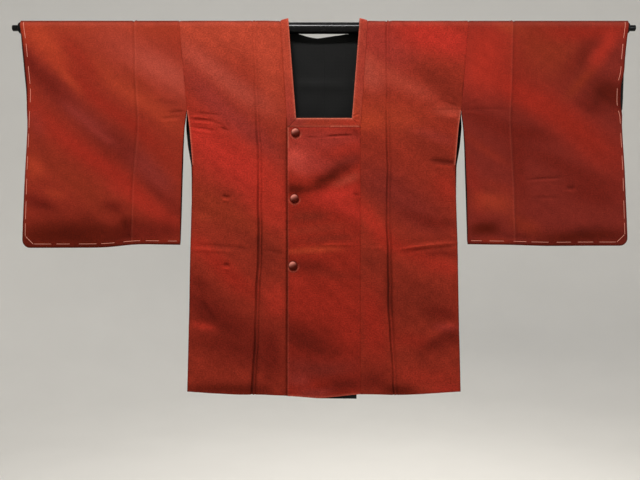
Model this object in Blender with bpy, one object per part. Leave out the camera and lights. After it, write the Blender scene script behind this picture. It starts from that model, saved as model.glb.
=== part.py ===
"""A michiyuki coat hung over a rod, as it hangs on a rack.

The rod runs along X through the origin. The coat's front faces -Y and Z is up.
Wearer's right is at -X. Sizes are in millimetres; place() turns them into metres.

Two measures lay the cloth out. "run" is the length along the cloth from the rod's
crown, negative down the front and positive down the back. "fall" is how far a
point hangs below the rod's axis once the cloth has left the rod.
"""
import bmesh
import bpy
from math import cos, pi, radians, sin, sqrt

for old in list(bpy.data.objects):
    bpy.data.objects.remove(old, do_unlink=True)

MM = 0.001

# Rod
ROD_RADIUS = 12.2
STUB_RADIUS = 6.4
ROD_END = 671.0
ROD_PROFILE = [  # distance from the middle, radius
    (653.5, ROD_RADIUS), (657.0, 10.4), (658.5, STUB_RADIUS), (ROD_END, STUB_RADIUS)]
ROD_SIDES = 32

# Cloth layers: each is (outer face, inner face) outwards from the coat's own outer face
CLOTH = 1.2
LINING = 1.0
GAP = 0.3
CROWN = 15.4
SHELL = (0.0, -CLOTH)
LINED = (-CLOTH - GAP, -CLOTH - GAP - LINING)
LAP = CLOTH + GAP
COLLAR = (0.9, -1.6)
COLLAR_RELIEF = 0.6
QUARTER = CROWN * pi / 2
CROWN_STEPS = 8

# Neck: half widths at the rod's crown and at the foot of the square opening
NECK_HALF = 94.0
NECK_FOOT_HALF = 78.0
NECK_FOOT = 215.8
NECK_BACK_RUN = 62.5
OPENING_HALF = 77.0
OPENING_FOOT_HALF = 59.8
OPENING_FOOT = 196.6
OPENING_BACK_RUN = 44.0
NECK_CURVE = 2.5
COLLAR_PEAK = 4.6
PEAK_REACH = 52.0

# Front panels
SEAM_START = 217.0
LAP_EDGE = -77.5
UNDER_SEAM = -75.5
OVER_SEAM = 78.0
UNDER_EDGE = 70.5
LAP_COLUMNS = (-45.0, -10.0, 25.0, 60.0)
LAP_RAMP = 71.6
UNDER_SHORT = 3.0

# Hem
HEM = 777.0
HEM_RAMP_START = 480.0
HEM_LINE = [  # x, fall of the hem
    (-292.0, 777.3), (-77.0, 787.0), (-8.0, 792.5), (70.0, 784.0), (152.0, 781.6), (292.0, 773.5)]
LINING_HEM_LINE = [  # x, fall of the underlap lining's hem
    (-77.0, 788.0), (-15.0, 794.5), (70.0, 795.5)]
BACK_HEM_LINE = [  # x, fall of the hem
    (-297.0, 777.0), (0.0, 782.0), (297.0, 777.0)]

# Side edges below the shoulder, as half widths; the arm slit runs from its top to the gusset
ARM_SLIT_TOP = 180.0
SIDES = [  # fall, body front, body back, sleeve front, sleeve back
    (-QUARTER, 311.0, 311.0, 311.3, 311.3),
    (180.0, 293.0, 298.5, 293.3, 298.8),
    (212.0, 288.2, 300.0, 298.0, 303.0),
    (254.0, 284.4, 296.0, 302.0, 305.0),
    (297.0, 281.0, 288.5, 304.0, 306.0),
    (372.0, 283.0, 288.0, 307.0, 308.0),
    (472.0, 286.0, 290.5, 309.5, 310.5),
    (640.0, 289.0, 294.0, 309.5, 310.5),
    (777.0, 292.5, 297.0, 309.5, 310.5)]
BODY_FRONT, BODY_BACK, SLEEVE_FRONT, SLEEVE_BACK = 1, 2, 3, 4
LINING_MARGIN = 0.8

# Depth of the hanging cloth, from the middle plane to the outer face
BODY_DEPTH = [  # fall, half depth
    (0.0, 15.4), (180.0, 14.6), (297.0, 14.2), (472.0, 13.8), (777.0, 14.2)]
SLEEVE_DEPTH = [  # fall, half depth
    (0.0, 15.4), (180.0, 14.6), (271.0, 12.5), (338.0, 10.5), (420.0, 8.0), (465.0, 6.5)]

# Slow waves of the hanging fronts and back
WAVE_START = 180.0
WAVES = {  # side: depth at the hem, then (share, length, shift) of each wave
    -1: (2.2, ((0.7, 270.0, 30.0), (0.3, 140.0, -55.0))),
    1: (2.8, ((0.6, 310.0, -80.0), (0.4, 190.0, 20.0)))}

# Storage folds
FOLD_RISE = 0.8
FOLD_HALF = 8.0
CROSS_FOLD = 472.0
BODY_FOLD = [  # fall, half width where the fold lies
    (-QUARTER, 143.0), (290.0, 138.0), (500.0, 139.0), (680.0, 146.0), (777.0, 152.5)]
SLEEVE_FOLD = [  # fall, half width where the fold lies
    (-QUARTER, 404.0), (120.0, 401.0), (200.0, 396.0), (270.0, 401.0), (338.0, 407.0), (465.0, 411.0)]

# Sleeves
SLEEVE_FOOT = 465.0
CUFF_FOOT = 218.0
CUFF_CLOSE_START = 205.0
CUFF_CLOSED = 271.0
CORNER = 17.0
FOOT_ROUND = 12.0
EDGE_ROUND = 14.0
EDGE_INNER = 4.0
CLOSED_HALF = 2.4
CUFF = [  # fall, outer edge at wearer's right, at wearer's left
    (-QUARTER, 646.0, 651.0), (66.0, 637.5, 644.5), (141.0, 631.0, 638.0), (188.0, 630.5, 634.5),
    (271.0, 633.0, 636.5), (338.0, 636.5, 640.5), (423.0, 640.5, 645.0), (465.0, 642.0, 646.5)]
SLEEVE_FOOT_LINE = [  # half width, fall at wearer's right, at wearer's left
    (308.0, 463.5, 462.2), (404.0, 459.5, 463.0), (474.0, 467.5, 464.0), (585.0, 470.0, 465.6)]
SLEEVE_FOOT_RAMP = 338.0

# Gussets
GUSSET_TOP = 297.0
GUSSET_FOLD_TOP = 12.0
GUSSET_FOLD_HEM = 30.0
GUSSET_INSET = 1.0
GUSSET_WALL = 1.4

# Rows of points
FRONT_FALLS = (777.0, 715.0, 640.0, 560.0, 480.0, 472.0, 464.0, 372.0, 297.0, 254.0, 219.0, 216.0,
               180.0, 120.0, 60.0, 0.0)
NECK_RUNS = (34.0, 44.0, 52.0, 58.0, 61.6, NECK_BACK_RUN + GAP)
BACK_FALLS = (80.0, 120.0, 180.0, 212.0, 254.0, 297.0, 372.0, 464.0, 472.0, 480.0, 560.0, 640.0,
              715.0, 777.0)
LINING_FALLS = (80.0, 120.0, 180.0, 212.0, 254.0, 297.0, 372.0, 472.0, 640.0, 777.0)
SLEEVE_FALLS = (465.0, 461.0, 453.0, 420.0, 338.0, 271.0, 218.0, 196.0, 180.0, 120.0, 60.0, 0.0)
SLEEVE_LINING_FALLS = (452.0, 420.0, 338.0, 271.0, 218.0, 196.0, 180.0, 120.0, 60.0, 0.0)
GUSSET_FALLS = (297.0, 372.0, 472.0, 560.0, 640.0, 715.0, 777.0)
LINING_FRONT_END = 60.0

# Buttons
BUTTONS = [  # name, x, fall
    ("button_1", -61.0, 227.6), ("button_2", -63.2, 368.3), ("button_3", -66.4, 510.0)]
BUTTON_PROFILE = [  # height above the overlap, radius
    (0.0, 2.4), (1.3, 2.4), (1.3, 7.6), (2.6, 8.8), (4.3, 8.4), (5.8, 6.8), (6.8, 4.0), (7.2, 1.2)]
BUTTON_SIDES = 16


def along(table, value, column=1):
    """Read a column of a short table, straight between its rows."""
    if value <= table[0][0]:
        return table[0][column]
    for low, high in zip(table, table[1:]):
        if value <= high[0]:
            share = (value - low[0]) / (high[0] - low[0])
            return low[column] + share * (high[column] - low[column])
    return table[-1][column]


def ramp(value, start, end):
    return min(1.0, max(0.0, (value - start) / (end - start)))


def spread(stations, splits):
    """Divide each gap between neighbouring stations into its number of parts."""
    places = [stations[0]]
    for low, high, parts in zip(stations, stations[1:], splits):
        places += [low + (high - low) * step / parts for step in range(1, parts + 1)]
    return places


def tent(distance):
    return max(0.0, 1.0 - abs(distance) / FOLD_HALF)


def material(name, colour, roughness, metallic=0.0):
    made = bpy.data.materials.new(name)
    made.use_nodes = True
    shader = made.node_tree.nodes["Principled BSDF"]
    shader.inputs["Base Color"].default_value = (*colour, 1.0)
    shader.inputs["Roughness"].default_value = roughness
    shader.inputs["Metallic"].default_value = metallic
    return made


def add_object(name, points, faces, made):
    """Make a closed mesh from points in metres, with its faces pointing out."""
    mesh = bpy.data.meshes.new(name)
    mesh.from_pydata(points, [], faces)
    body = bmesh.new()
    body.from_mesh(mesh)
    if body.calc_volume(signed=True) < 0:
        bmesh.ops.reverse_faces(body, faces=body.faces)
    body.to_mesh(mesh)
    body.free()
    mesh.shade_smooth()
    mesh.set_sharp_from_angle(angle=radians(35))
    mesh.materials.append(made)
    bpy.context.scene.collection.objects.link(bpy.data.objects.new(name, mesh))


def wall(name, outer, inner, quads, made):
    """Join two like grids of points into one closed wall, with a rim round each open edge."""
    count = len(outer)
    edges = {(quad[k], quad[(k + 1) % 4]) for quad in quads for k in range(4)}
    rims = [(b, a, a + count, b + count) for a, b in edges if (b, a) not in edges]
    faces = [half for a, b, c, d in quads + rims for half in ((a, b, c), (a, c, d))]
    faces += [(a + count, c + count, b + count) for a, b, c, d in quads]
    faces += [(a + count, d + count, c + count) for a, b, c, d in quads]
    add_object(name, outer + inner, faces, made)


def grid_quads(rows, columns):
    return [(row * columns + column, row * columns + column + 1,
             (row + 1) * columns + column + 1, (row + 1) * columns + column)
            for row in range(rows - 1) for column in range(columns - 1)]


def crown_runs(first=1, last=CROWN_STEPS - 1):
    """Runs of the rows that bend over the rod, from its front to its back."""
    return [-QUARTER + 2 * QUARTER * step / CROWN_STEPS for step in range(first, last + 1)]


def front_runs(falls):
    return [-(QUARTER + fall) for fall in falls]


def back_runs(falls):
    return [QUARTER + fall for fall in falls]


def wave(x, side, fall):
    depth, parts = WAVES[side]
    swing = sum(share * sin(2 * pi * (x - shift) / length) for share, length, shift in parts)
    return depth * swing * ramp(fall, WAVE_START, HEM)


def place(x, run, out, hem=None):
    """A point of the body, in metres: x across, run along the cloth, out from its outer face."""
    fall = abs(run) - QUARTER
    if fall <= 0:
        angle = run / CROWN
        return (x * MM, sin(angle) * (CROWN + out) * MM, cos(angle) * (CROWN + out) * MM)
    side = -1 if run < 0 else 1
    line = hem or (HEM_LINE if side < 0 else BACK_HEM_LINE)
    drop = fall + (along(line, x) - HEM) * ramp(fall, HEM_RAMP_START, HEM)
    depth = side * (along(BODY_DEPTH, fall) + out) + wave(x, side, fall)
    return (x * MM, depth * MM, -drop * MM)


def neck_front(run, crown_half, foot_half, foot_fall):
    """Half width of a neck line at the front, straight from the crown to its foot."""
    return crown_half + (foot_half - crown_half) * min(1.0, -run / (QUARTER + foot_fall))


def neck_back(share, crown_half):
    """Half width of a neck line at the back, at a share of its depth."""
    return crown_half * (1.0 - min(1.0, share) ** NECK_CURVE) ** (1.0 / NECK_CURVE)


def body_inner(run, front_seam):
    """Half width where a body panel begins: neck, centre-back seam or front seam."""
    if run < 0:
        if -run - QUARTER > SEAM_START:
            return front_seam + GAP / 2
        return neck_front(run, NECK_HALF, NECK_FOOT_HALF, NECK_FOOT) + GAP
    share = run / (NECK_BACK_RUN + GAP)
    return max(GAP / 2, neck_back(share, NECK_HALF + GAP))


def body_columns(side, front_seam, creased, margin=0.0):
    """A function that gives each row of a body panel its (x, lift) pairs."""
    def columns(run):
        fall = abs(run) - QUARTER
        outer = along(SIDES, fall, BODY_FRONT if run < 0 else BODY_BACK) - margin
        fold = along(BODY_FOLD, fall)
        places = spread([body_inner(run, front_seam), fold - FOLD_HALF, fold, fold + FOLD_HALF, outer],
                        (3, 1, 1, 3))
        lift = FOLD_RISE if creased else 0.0
        return [(side * x, lift * max(tent(x - fold), tent(fall - CROSS_FOLD))) for x in places]
    return columns


def panel(name, runs, columns, layer, made, hem=None):
    """A wall through rows of (x, lift) pairs, one row for each run."""
    skins = []
    for out in layer:
        skins.append([place(x, run, out + lift, hem) for run in runs for x, lift in columns(run)])
    wall(name, skins[0], skins[1], grid_quads(len(runs), len(columns(runs[0]))), made)


def body(name, side, front_seam, made):
    runs = front_runs(FRONT_FALLS) + crown_runs() + back_runs((0.0,)) + list(NECK_RUNS)
    runs += back_runs(BACK_FALLS)
    panel(name, runs, body_columns(side, front_seam, True), SHELL, made)


def body_lining(name, side, made):
    """The lining of the back, which wraps over the shoulder and ends at the top of the front."""
    runs = front_runs((LINING_FRONT_END, 0.0)) + crown_runs() + back_runs((0.0,)) + list(NECK_RUNS)
    runs += back_runs(LINING_FALLS)
    columns = body_columns(side, OVER_SEAM, False, LINING_MARGIN)
    panel(name, runs, columns, LINED, made)


def lap_falls(top):
    return [fall for fall in FRONT_FALLS if fall > top] + [top]


def cross_lift(fall):
    return FOLD_RISE * tent(fall - CROSS_FOLD)


def underlap(name, layer, short, hem, creased, made):
    def columns(run):
        lift = cross_lift(-run - QUARTER) if creased else 0.0
        places = (UNDER_SEAM + GAP / 2, *LAP_COLUMNS, UNDER_EDGE - short)
        return [(x, lift) for x in places]
    panel(name, front_runs(lap_falls(NECK_FOOT + GAP)), columns, layer, made, hem)


def overlap(name, made):
    """Lies on the underlap, and comes down to the body's level at its seam."""
    def columns(run):
        lift = cross_lift(-run - QUARTER)
        lifted = [(x, LAP + lift) for x in (LAP_EDGE, *LAP_COLUMNS, LAP_RAMP)]
        return lifted + [(OVER_SEAM - GAP / 2, lift)]
    panel(name, front_runs(lap_falls(NECK_FOOT + GAP)), columns, SHELL, made)


def collar_peak(run, share):
    """How far the collar stands up where it crosses the rod: most at its free edge."""
    near = 1.0 - min(1.0, abs(run) / PEAK_REACH)
    return COLLAR_PEAK * share * near * near * (3 - 2 * near)


def collar_stations():
    """Pairs of (x, run), seam edge then free edge, round the neck from foot to foot."""
    half = []
    for run in front_runs((NECK_FOOT, 180.0, 120.0, 60.0, 0.0)) + crown_runs(1, CROWN_STEPS // 2):
        share = -run / (QUARTER + NECK_FOOT)
        free_run = -share * (QUARTER + OPENING_FOOT)
        half.append(((neck_front(run, NECK_HALF, NECK_FOOT_HALF, NECK_FOOT), run),
                     (neck_front(free_run, OPENING_HALF, OPENING_FOOT_HALF, OPENING_FOOT), free_run)))
    for run in crown_runs(CROWN_STEPS // 2 + 1) + back_runs((0.0,)) + list(NECK_RUNS):
        share = run / (NECK_BACK_RUN + GAP)
        half.append(((neck_back(share, NECK_HALF), share * NECK_BACK_RUN),
                     (neck_back(share, OPENING_HALF), share * OPENING_BACK_RUN)))
    mirrored = [tuple((-x, run) for x, run in pair) for pair in half]
    return mirrored + half[-2::-1]


def collar_neck(name, made):
    stations = collar_stations()
    skins = []
    for out in COLLAR:
        points = []
        for seam_edge, free_edge in stations:
            for share in (0.0, 0.5, 1.0):
                x = seam_edge[0] + share * (free_edge[0] - seam_edge[0])
                run = seam_edge[1] + share * (free_edge[1] - seam_edge[1])
                points.append(place(x, run, out + collar_peak(run, share)))
        skins.append(points)
    wall(name, skins[0], skins[1], grid_quads(len(stations), 3), made)


def collar_band(name, top, foot, layers, made):
    """A mitred band across the front; each edge lists (x, lift) pairs."""
    skins = []
    for out in layers:
        points = []
        for fall, pairs in ((OPENING_FOOT, top), (NECK_FOOT, foot)):
            points += [place(x, -(QUARTER + fall), out + lift) for x, lift in pairs]
        skins.append(points)
    wall(name, skins[0], skins[1], grid_quads(2, len(top)), made)


def sleeve_depth(fall, from_edge):
    """Half depth of a sleeve: it narrows downwards and rounds off at its closed edges."""
    from_foot = min(1.0, (SLEEVE_FOOT - fall) / FOOT_ROUND)
    near_edge = min(1.0, from_edge / EDGE_ROUND)
    closed = ramp(fall, CUFF_CLOSE_START, CUFF_CLOSED)
    edge = 1.0 - closed * (1.0 - sqrt(1.0 - (1.0 - near_edge) ** 2))
    foot = sqrt(1.0 - (1.0 - from_foot) ** 2)
    return max(CLOSED_HALF, along(SLEEVE_DEPTH, fall) * edge * foot)


def sleeve_row(run, cuff_column, edge_margin, tuck, creased):
    """Half widths across a sleeve at one run, with each one's distance from the outer edge.

    tuck moves the last one in, which gives the closed edge its thickness.
    """
    fall = abs(run) - QUARTER
    inner = along(SIDES, fall, SLEEVE_FRONT if run < 0 else SLEEVE_BACK)
    outer = along(CUFF, fall, cuff_column)
    below = fall - (SLEEVE_FOOT - CORNER)
    if below > 0:
        outer -= CORNER - sqrt(max(0.0, CORNER * CORNER - below * below))
    fold = along(SLEEVE_FOLD, fall)
    if creased:
        places = spread([inner, fold - FOLD_HALF, fold, fold + FOLD_HALF, outer - EDGE_ROUND,
                         outer - EDGE_INNER, outer], (2, 1, 1, 3, 1, 1))
    else:
        places = spread([inner + LINING_MARGIN, outer - edge_margin], (3,))
    row = [(x, outer - x, FOLD_RISE * tent(x - fold) if creased else 0.0) for x in places]
    return row[:-1] + [(row[-1][0] - tuck, *row[-1][1:])]


def sleeve_skin(side, runs, inset, margin_at, creased):
    """The points of one face of a sleeve, inset from its outer face."""
    cuff_column = 1 if side < 0 else 2
    points = []
    for run in runs:
        fall = abs(run) - QUARTER
        tuck = inset if fall > CUFF_FOOT - GAP else 0.0
        for x, from_edge, lift in sleeve_row(run, cuff_column, margin_at(fall), tuck, creased):
            if fall <= 0:
                angle = run / CROWN
                reach = CROWN - inset + lift
                points.append((side * x * MM, sin(angle) * reach * MM, cos(angle) * reach * MM))
                continue
            foot = along(SLEEVE_FOOT_LINE, x, cuff_column)
            drop = fall + (foot - SLEEVE_FOOT) * ramp(fall, SLEEVE_FOOT_RAMP, SLEEVE_FOOT)
            if abs(run) == abs(runs[0]):
                drop -= inset
            depth = sleeve_depth(fall, from_edge) - inset + lift
            depth = depth if run > 0 else -depth
            points.append(((side * x) * MM, depth * MM, -drop * MM))
    return points


def sleeve(name, side, falls, layer, margin_at, creased, made):
    """A tube laid flat: closed along its foot and under the cuff, open at both ends above."""
    runs = front_runs(falls) + crown_runs() + back_runs(reversed(falls))
    skins = [sleeve_skin(side, runs, -out, margin_at, creased) for out in layer]
    rows = len(runs)
    columns = len(skins[0]) // rows
    quads = grid_quads(rows, columns)
    last = (rows - 1) * columns
    quads += [(last + column, last + column + 1, column + 1, column) for column in range(columns - 1)]
    rungs = sum(1 for fall in falls if fall >= CUFF_FOOT)
    for rung in range(rungs - 1):
        front = rung * columns + columns - 1
        back = (rows - 1 - rung) * columns + columns - 1
        quads.append((front + columns, front, back, back - columns))
    wall(name, skins[0], skins[1], quads, made)


def shell_margin(fall):
    return 0.0


def lining_margin(fall):
    """The sleeve's lining reaches the open cuff, and stays clear of the closed edge below it."""
    return LINING_MARGIN if fall <= ARM_SLIT_TOP else EDGE_ROUND + LINING


def gusset(name, side, made):
    """A strip folded inwards between the side edges of front and back."""
    skins = ([], [])
    for fall in GUSSET_FALLS:
        fold = GUSSET_FOLD_TOP + (GUSSET_FOLD_HEM - GUSSET_FOLD_TOP) * ramp(fall, GUSSET_TOP, HEM)
        front_half = along(SIDES, fall, BODY_FRONT) - GUSSET_INSET
        back_half = along(SIDES, fall, BODY_BACK) - GUSSET_INSET
        front = place(side * front_half, -(QUARTER + fall), LINED[1] - GAP)
        back = place(side * back_half, QUARTER + fall, LINED[1] - GAP)
        middle = ((front[1] + back[1]) / 2, (front[2] + back[2]) / 2)
        half_depth = (back[1] - front[1]) / 2
        folded = (front_half - fold) * MM
        valley = folded + GUSSET_WALL * MM * fold * MM / half_depth
        skins[0].extend([front, (side * folded, *middle), back])
        skins[1].extend([(front[0], front[1] + GUSSET_WALL * MM, front[2]), (side * valley, *middle),
                         (back[0], back[1] - GUSSET_WALL * MM, back[2])])
    wall(name, skins[0], skins[1], grid_quads(len(GUSSET_FALLS), 3), made)


def turned(name, profile, sides, axis_point, made):
    """Turn (along, radius) pairs about a line; axis_point maps (along, u, v) to metres."""
    points = []
    faces = []
    for reach, radius in profile:
        for side in range(sides):
            angle = 2 * pi * side / sides
            points.append(axis_point(reach, radius * cos(angle), radius * sin(angle)))
    for step in range(len(profile) - 1):
        for side in range(sides):
            after = (side + 1) % sides
            low = step * sides
            high = low + sides
            faces.append((low + side, low + after, high + after, high + side))
    faces.append(tuple(reversed(range(sides))))
    faces.append(tuple(range((len(profile) - 1) * sides, len(profile) * sides)))
    add_object(name, points, faces, made)


def button(name, x, fall, made):
    """A covered button on its short shank, on the overlap."""
    seat = place(x, -(QUARTER + fall), LAP + GAP)

    def axis_point(height, u, v):
        return (seat[0] + u * MM, seat[1] - height * MM, seat[2] + v * MM)
    turned(name, BUTTON_PROFILE, BUTTON_SIDES, axis_point, made)


def rod(name, made):
    """A tube with rounded shoulders and a thinner stub at each end."""
    profile = [(-reach, radius) for reach, radius in reversed(ROD_PROFILE)] + ROD_PROFILE

    def axis_point(reach, u, v):
        return (reach * MM, u * MM, v * MM)
    turned(name, profile, ROD_SIDES, axis_point, made)


def main():
    silk = material("dyed_silk", (0.30, 0.045, 0.025), 0.75)
    black = material("black_lining", (0.012, 0.012, 0.012), 0.6)
    paint = material("black_painted_steel", (0.015, 0.015, 0.015), 0.3)

    rod("rod", paint)
    body("body_right", -1, -UNDER_SEAM, silk)
    body("body_left", 1, OVER_SEAM, silk)
    body_lining("lining_right", -1, black)
    body_lining("lining_left", 1, black)

    short_hem = [(x, fall - UNDER_SHORT) for x, fall in HEM_LINE]
    underlap("underlap", SHELL, 0.0, short_hem, True, silk)
    underlap("lining_underlap", LINED, LINING_MARGIN, LINING_HEM_LINE, False, black)
    overlap("overlap", silk)

    collar_neck("collar_neck", silk)
    foot = [(x, LAP) for x in (LAP_EDGE, *LAP_COLUMNS, LAP_RAMP)] + [(OVER_SEAM - GAP, 0.0)]
    top = [(x, LAP) for x in (-OPENING_FOOT_HALF + GAP, -45.0, -10.0, 25.0, 47.0, 54.0)]
    top.append((OPENING_FOOT_HALF - GAP, 0.0))
    collar_band("collar_overlap", top, foot, (COLLAR_RELIEF, -CLOTH), silk)
    hidden_foot = [(x, 0.0) for x in (UNDER_SEAM, *LAP_COLUMNS, UNDER_EDGE)]
    hidden_top = [(x, 0.0) for x in (-OPENING_FOOT_HALF + 2 * GAP, -45.0, -10.0, 25.0, 47.0, 52.0)]
    collar_band("collar_underlap", hidden_top, hidden_foot, SHELL, silk)

    for side, word in ((-1, "right"), (1, "left")):
        sleeve(f"sleeve_{word}", side, SLEEVE_FALLS, SHELL, shell_margin, True, silk)
        sleeve(f"lining_sleeve_{word}", side, SLEEVE_LINING_FALLS, LINED, lining_margin, False, black)
        gusset(f"gusset_{word}", side, silk)

    for name, x, fall in BUTTONS:
        button(name, x, fall, silk)


main()
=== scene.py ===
# %% [markdown]
# # A michiyuki coat on its rod
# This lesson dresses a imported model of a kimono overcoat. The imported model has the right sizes
# and places. Here each piece of cloth is made again as a finer, thinner shell on the same form,
# with its creases, its dye, its lining and its basting stitches.
#
# The rod runs along X, the coat's front faces -Y, and Z is up. The wearer's right is at -X.
# Cloth is laid out in millimetres and turned to metres at the last step.

# %% Load the frame
import random
from math import cos, pi, radians, sin

import bpy
import numpy as np
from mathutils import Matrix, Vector


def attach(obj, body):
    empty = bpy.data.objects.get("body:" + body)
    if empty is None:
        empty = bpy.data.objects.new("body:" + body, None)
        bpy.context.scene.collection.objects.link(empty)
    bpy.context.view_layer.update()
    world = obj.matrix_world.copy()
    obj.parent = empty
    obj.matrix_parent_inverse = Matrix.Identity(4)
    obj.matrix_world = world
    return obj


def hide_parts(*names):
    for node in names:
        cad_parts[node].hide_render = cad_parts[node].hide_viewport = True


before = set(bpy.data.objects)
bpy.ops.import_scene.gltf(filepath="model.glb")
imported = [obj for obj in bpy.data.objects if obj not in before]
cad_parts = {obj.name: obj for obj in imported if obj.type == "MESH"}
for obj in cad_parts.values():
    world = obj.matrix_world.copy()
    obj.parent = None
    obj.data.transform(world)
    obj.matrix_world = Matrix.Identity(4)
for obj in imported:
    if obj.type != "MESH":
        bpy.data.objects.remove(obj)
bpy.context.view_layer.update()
MM = 0.001


def add_object(name, data):
    """Put a mesh, curve, lamp or camera into the scene."""
    made = bpy.data.objects.new(name, data)
    bpy.context.scene.collection.objects.link(made)
    return made


print("nodes in the frame:", len(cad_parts))

# %% [markdown]
# ## The camera
# The photograph was taken level, from one and a half metres away, at the height of the sleeves'
# feet. A 39.5 mm lens frames the rod from end to end.

# %% Set the camera
CAMERA_AT = (-0.0085, -1.515, -0.457)
LENS, SENSOR_WIDTH = 39.5, 36.0

camera = add_object("camera", bpy.data.cameras.new("camera"))
camera.data.lens = LENS
camera.data.sensor_width = SENSOR_WIDTH
camera.location = CAMERA_AT
camera.rotation_euler = (radians(90), 0, 0)
bpy.context.scene.camera = camera
bpy.context.scene.view_settings.view_transform = "Standard"
print("camera at", CAMERA_AT, "with a lens of", LENS, "mm")

# %% [markdown]
# ## The cut of the coat
# A kimono coat is cut in straight strips from a narrow bolt, so it can be laid out with two
# measures. "run" is the length along the cloth from the rod's crown: negative down the front,
# positive down the back. "fall" is how far a point hangs below the rod's axis. The tables are
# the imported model's own, but for the hem, the sleeves' feet and the cuffs, where the finer cloth
# reaches a few millimetres further. They are read softened, because real edges have no kinks.

# %% Lay out the coat's tables
CROWN = 15.4
QUARTER = CROWN * pi / 2
LAP = 1.5
SEAM = 0.04

NECK_HALF, NECK_FOOT_HALF, NECK_FOOT, NECK_BACK_RUN = 94.0, 78.0, 215.8, 62.8
OPENING_HALF, OPENING_FOOT_HALF, OPENING_FOOT, OPENING_BACK_RUN = 77.0, 59.8, 196.6, 44.0
NECK_CURVE = 2.5
COLLAR_PEAK, PEAK_REACH = 4.6, 52.0
RISE_START, RISE_END = 14.0, (48.0, 120.0)
NECK_RISE = [  # x, how far the back of the neck is held up between its lowest point and the sides
    (-77.0, 0.0), (-51.0, 3.9), (-30.0, 2.6), (-14.0, 1.4), (4.0, 4.4), (23.0, 6.6), (45.0, 5.8),
    (64.0, 1.2), (77.0, 0.0)]

SEAM_START = 217.0
LAP_EDGE, UNDER_SEAM, OVER_SEAM, UNDER_EDGE, LAP_RAMP = -77.5, -75.5, 78.0, 70.5, 71.6
UNDER_SHORT = 3.0

HEM, HEM_RAMP_START = 777.0, 480.0
HEM_LINE = [  # x, fall of the hem
    (-292.0, 780.8), (-179.0, 788.4), (-135.0, 787.4), (-77.0, 789.6), (-8.0, 795.0), (70.0, 786.8),
    (152.0, 788.6), (216.0, 785.6), (292.0, 781.0)]
# The underlap's lining hangs below the hem: a black edge that is real lining and also stands for the
# shade under the overlap's corner.
LINING_HEM_LINE = [(-77.0, 789.0), (-15.0, 795.8), (70.0, 796.8)]
BACK_HEM_LINE = [(-297.0, 777.0), (0.0, 782.0), (297.0, 777.0)]

ARM_SLIT_TOP = 180.0
SIDES = [  # fall, body front, body back, sleeve front, sleeve back
    (-QUARTER, 311.0, 311.0, 311.0, 311.0),
    (180.0, 293.0, 298.5, 293.0, 298.5),
    (212.0, 288.2, 300.0, 298.0, 303.0),
    (254.0, 284.4, 296.0, 302.0, 305.0),
    (297.0, 281.0, 288.5, 304.0, 306.0),
    (372.0, 283.0, 288.0, 307.0, 308.0),
    (472.0, 286.0, 290.5, 309.5, 310.5),
    (640.0, 289.0, 294.0, 309.5, 310.5),
    (777.0, 292.5, 297.0, 309.5, 310.5)]
BODY_FRONT, BODY_BACK, SLEEVE_FRONT, SLEEVE_BACK = 1, 2, 3, 4
HANDS = ((-1, "right"), (1, "left"))  # the wearer's right is at -X
COLUMN = {-1: 1, 1: 2}  # where a table has one column for each side of the coat

BODY_DEPTH = [(0.0, 15.4), (180.0, 14.6), (297.0, 14.2), (472.0, 13.8), (777.0, 14.2)]
SLEEVE_DEPTH = [
    (0.0, 15.4), (180.0, 14.6), (271.0, 12.5), (338.0, 10.5), (420.0, 8.0), (465.0, 6.5)]
WAVE_START = 180.0
WAVES = {  # side: depth at the hem, then (share, length, shift) of each wave
    -1: (2.2, ((0.7, 270.0, 30.0), (0.3, 140.0, -55.0))),
    1: (2.8, ((0.6, 310.0, -80.0), (0.4, 190.0, 20.0)))}

SLEEVE_FOOT, CUFF_FOOT = 465.0, 218.0
CUFF_CLOSE_START, CUFF_CLOSED = 150.0, 224.0
CORNER, FOOT_ROUND, EDGE_ROUND, CLOSED_HALF = 17.0, 12.0, 14.0, 2.4
CUFF_DRAWN = {  # side: fall in the middle, reach, how far the front silk draws back from the cuff
    -1: (85.0, 80.0, 3.0), 1: (146.0, 38.0, 6.4)}
CUFF = [  # fall, outer edge at wearer's right, at wearer's left
    (-QUARTER, 646.0, 651.0), (66.0, 637.5, 644.5), (141.0, 631.0, 638.0), (188.0, 630.5, 634.5),
    (271.0, 633.0, 636.5), (338.0, 636.5, 640.5), (423.0, 640.5, 645.0), (465.0, 642.0, 646.5)]
CUFF_PROUD = [  # fall, how far the cloth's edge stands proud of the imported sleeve, right and left
    (-QUARTER, 6.0, 3.0), (30.0, 6.6, 0.0), (73.0, 6.6, -1.2), (115.0, 6.2, 0.4), (158.0, 5.6, 3.2),
    (201.0, 7.2, 6.4), (286.0, 9.0, 9.6), (371.0, 8.8, 8.4), (465.0, 8.4, 8.0)]
SLEEVE_FOOT_LINE = [  # half width, fall at wearer's right, at wearer's left
    (308.0, 467.5, 466.2), (404.0, 466.0, 467.6), (474.0, 473.6, 470.0), (585.0, 474.0, 469.4)]
SLEEVE_FOOT_RAMP = 338.0
BUTTONS = [  # node, x, fall
    ("button_1", -61.0, 227.6), ("button_2", -63.2, 368.3), ("button_3", -66.4, 510.0)]
GUSSET_TOP, GUSSET_FOLD_TOP, GUSSET_FOLD_HEM, GUSSET_INSET = 297.0, 12.0, 30.0, 1.0


def soft(table, value, column=1, blur=8.0):
    """Read a column of a table at many values, with its corners softened over the blur."""
    value = np.asarray(value, float)
    places = [row[0] for row in table]
    levels = [row[column] for row in table]
    shifts = np.linspace(-blur, blur, 9)
    return sum(np.interp(value + shift, places, levels) for shift in shifts) / len(shifts)


def ramp(value, start, end):
    return np.clip((value - start) / (end - start), 0.0, 1.0)


def smooth(share):
    """Ease a share from 0 to 1 in and out."""
    return share * share * (3 - 2 * share)


def fall_of(run):
    return np.abs(run) - QUARTER


print("front length over the rod:", round(HEM + QUARTER), "mm; sleeve depth:", round(SLEEVE_FOOT), "mm")

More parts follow.
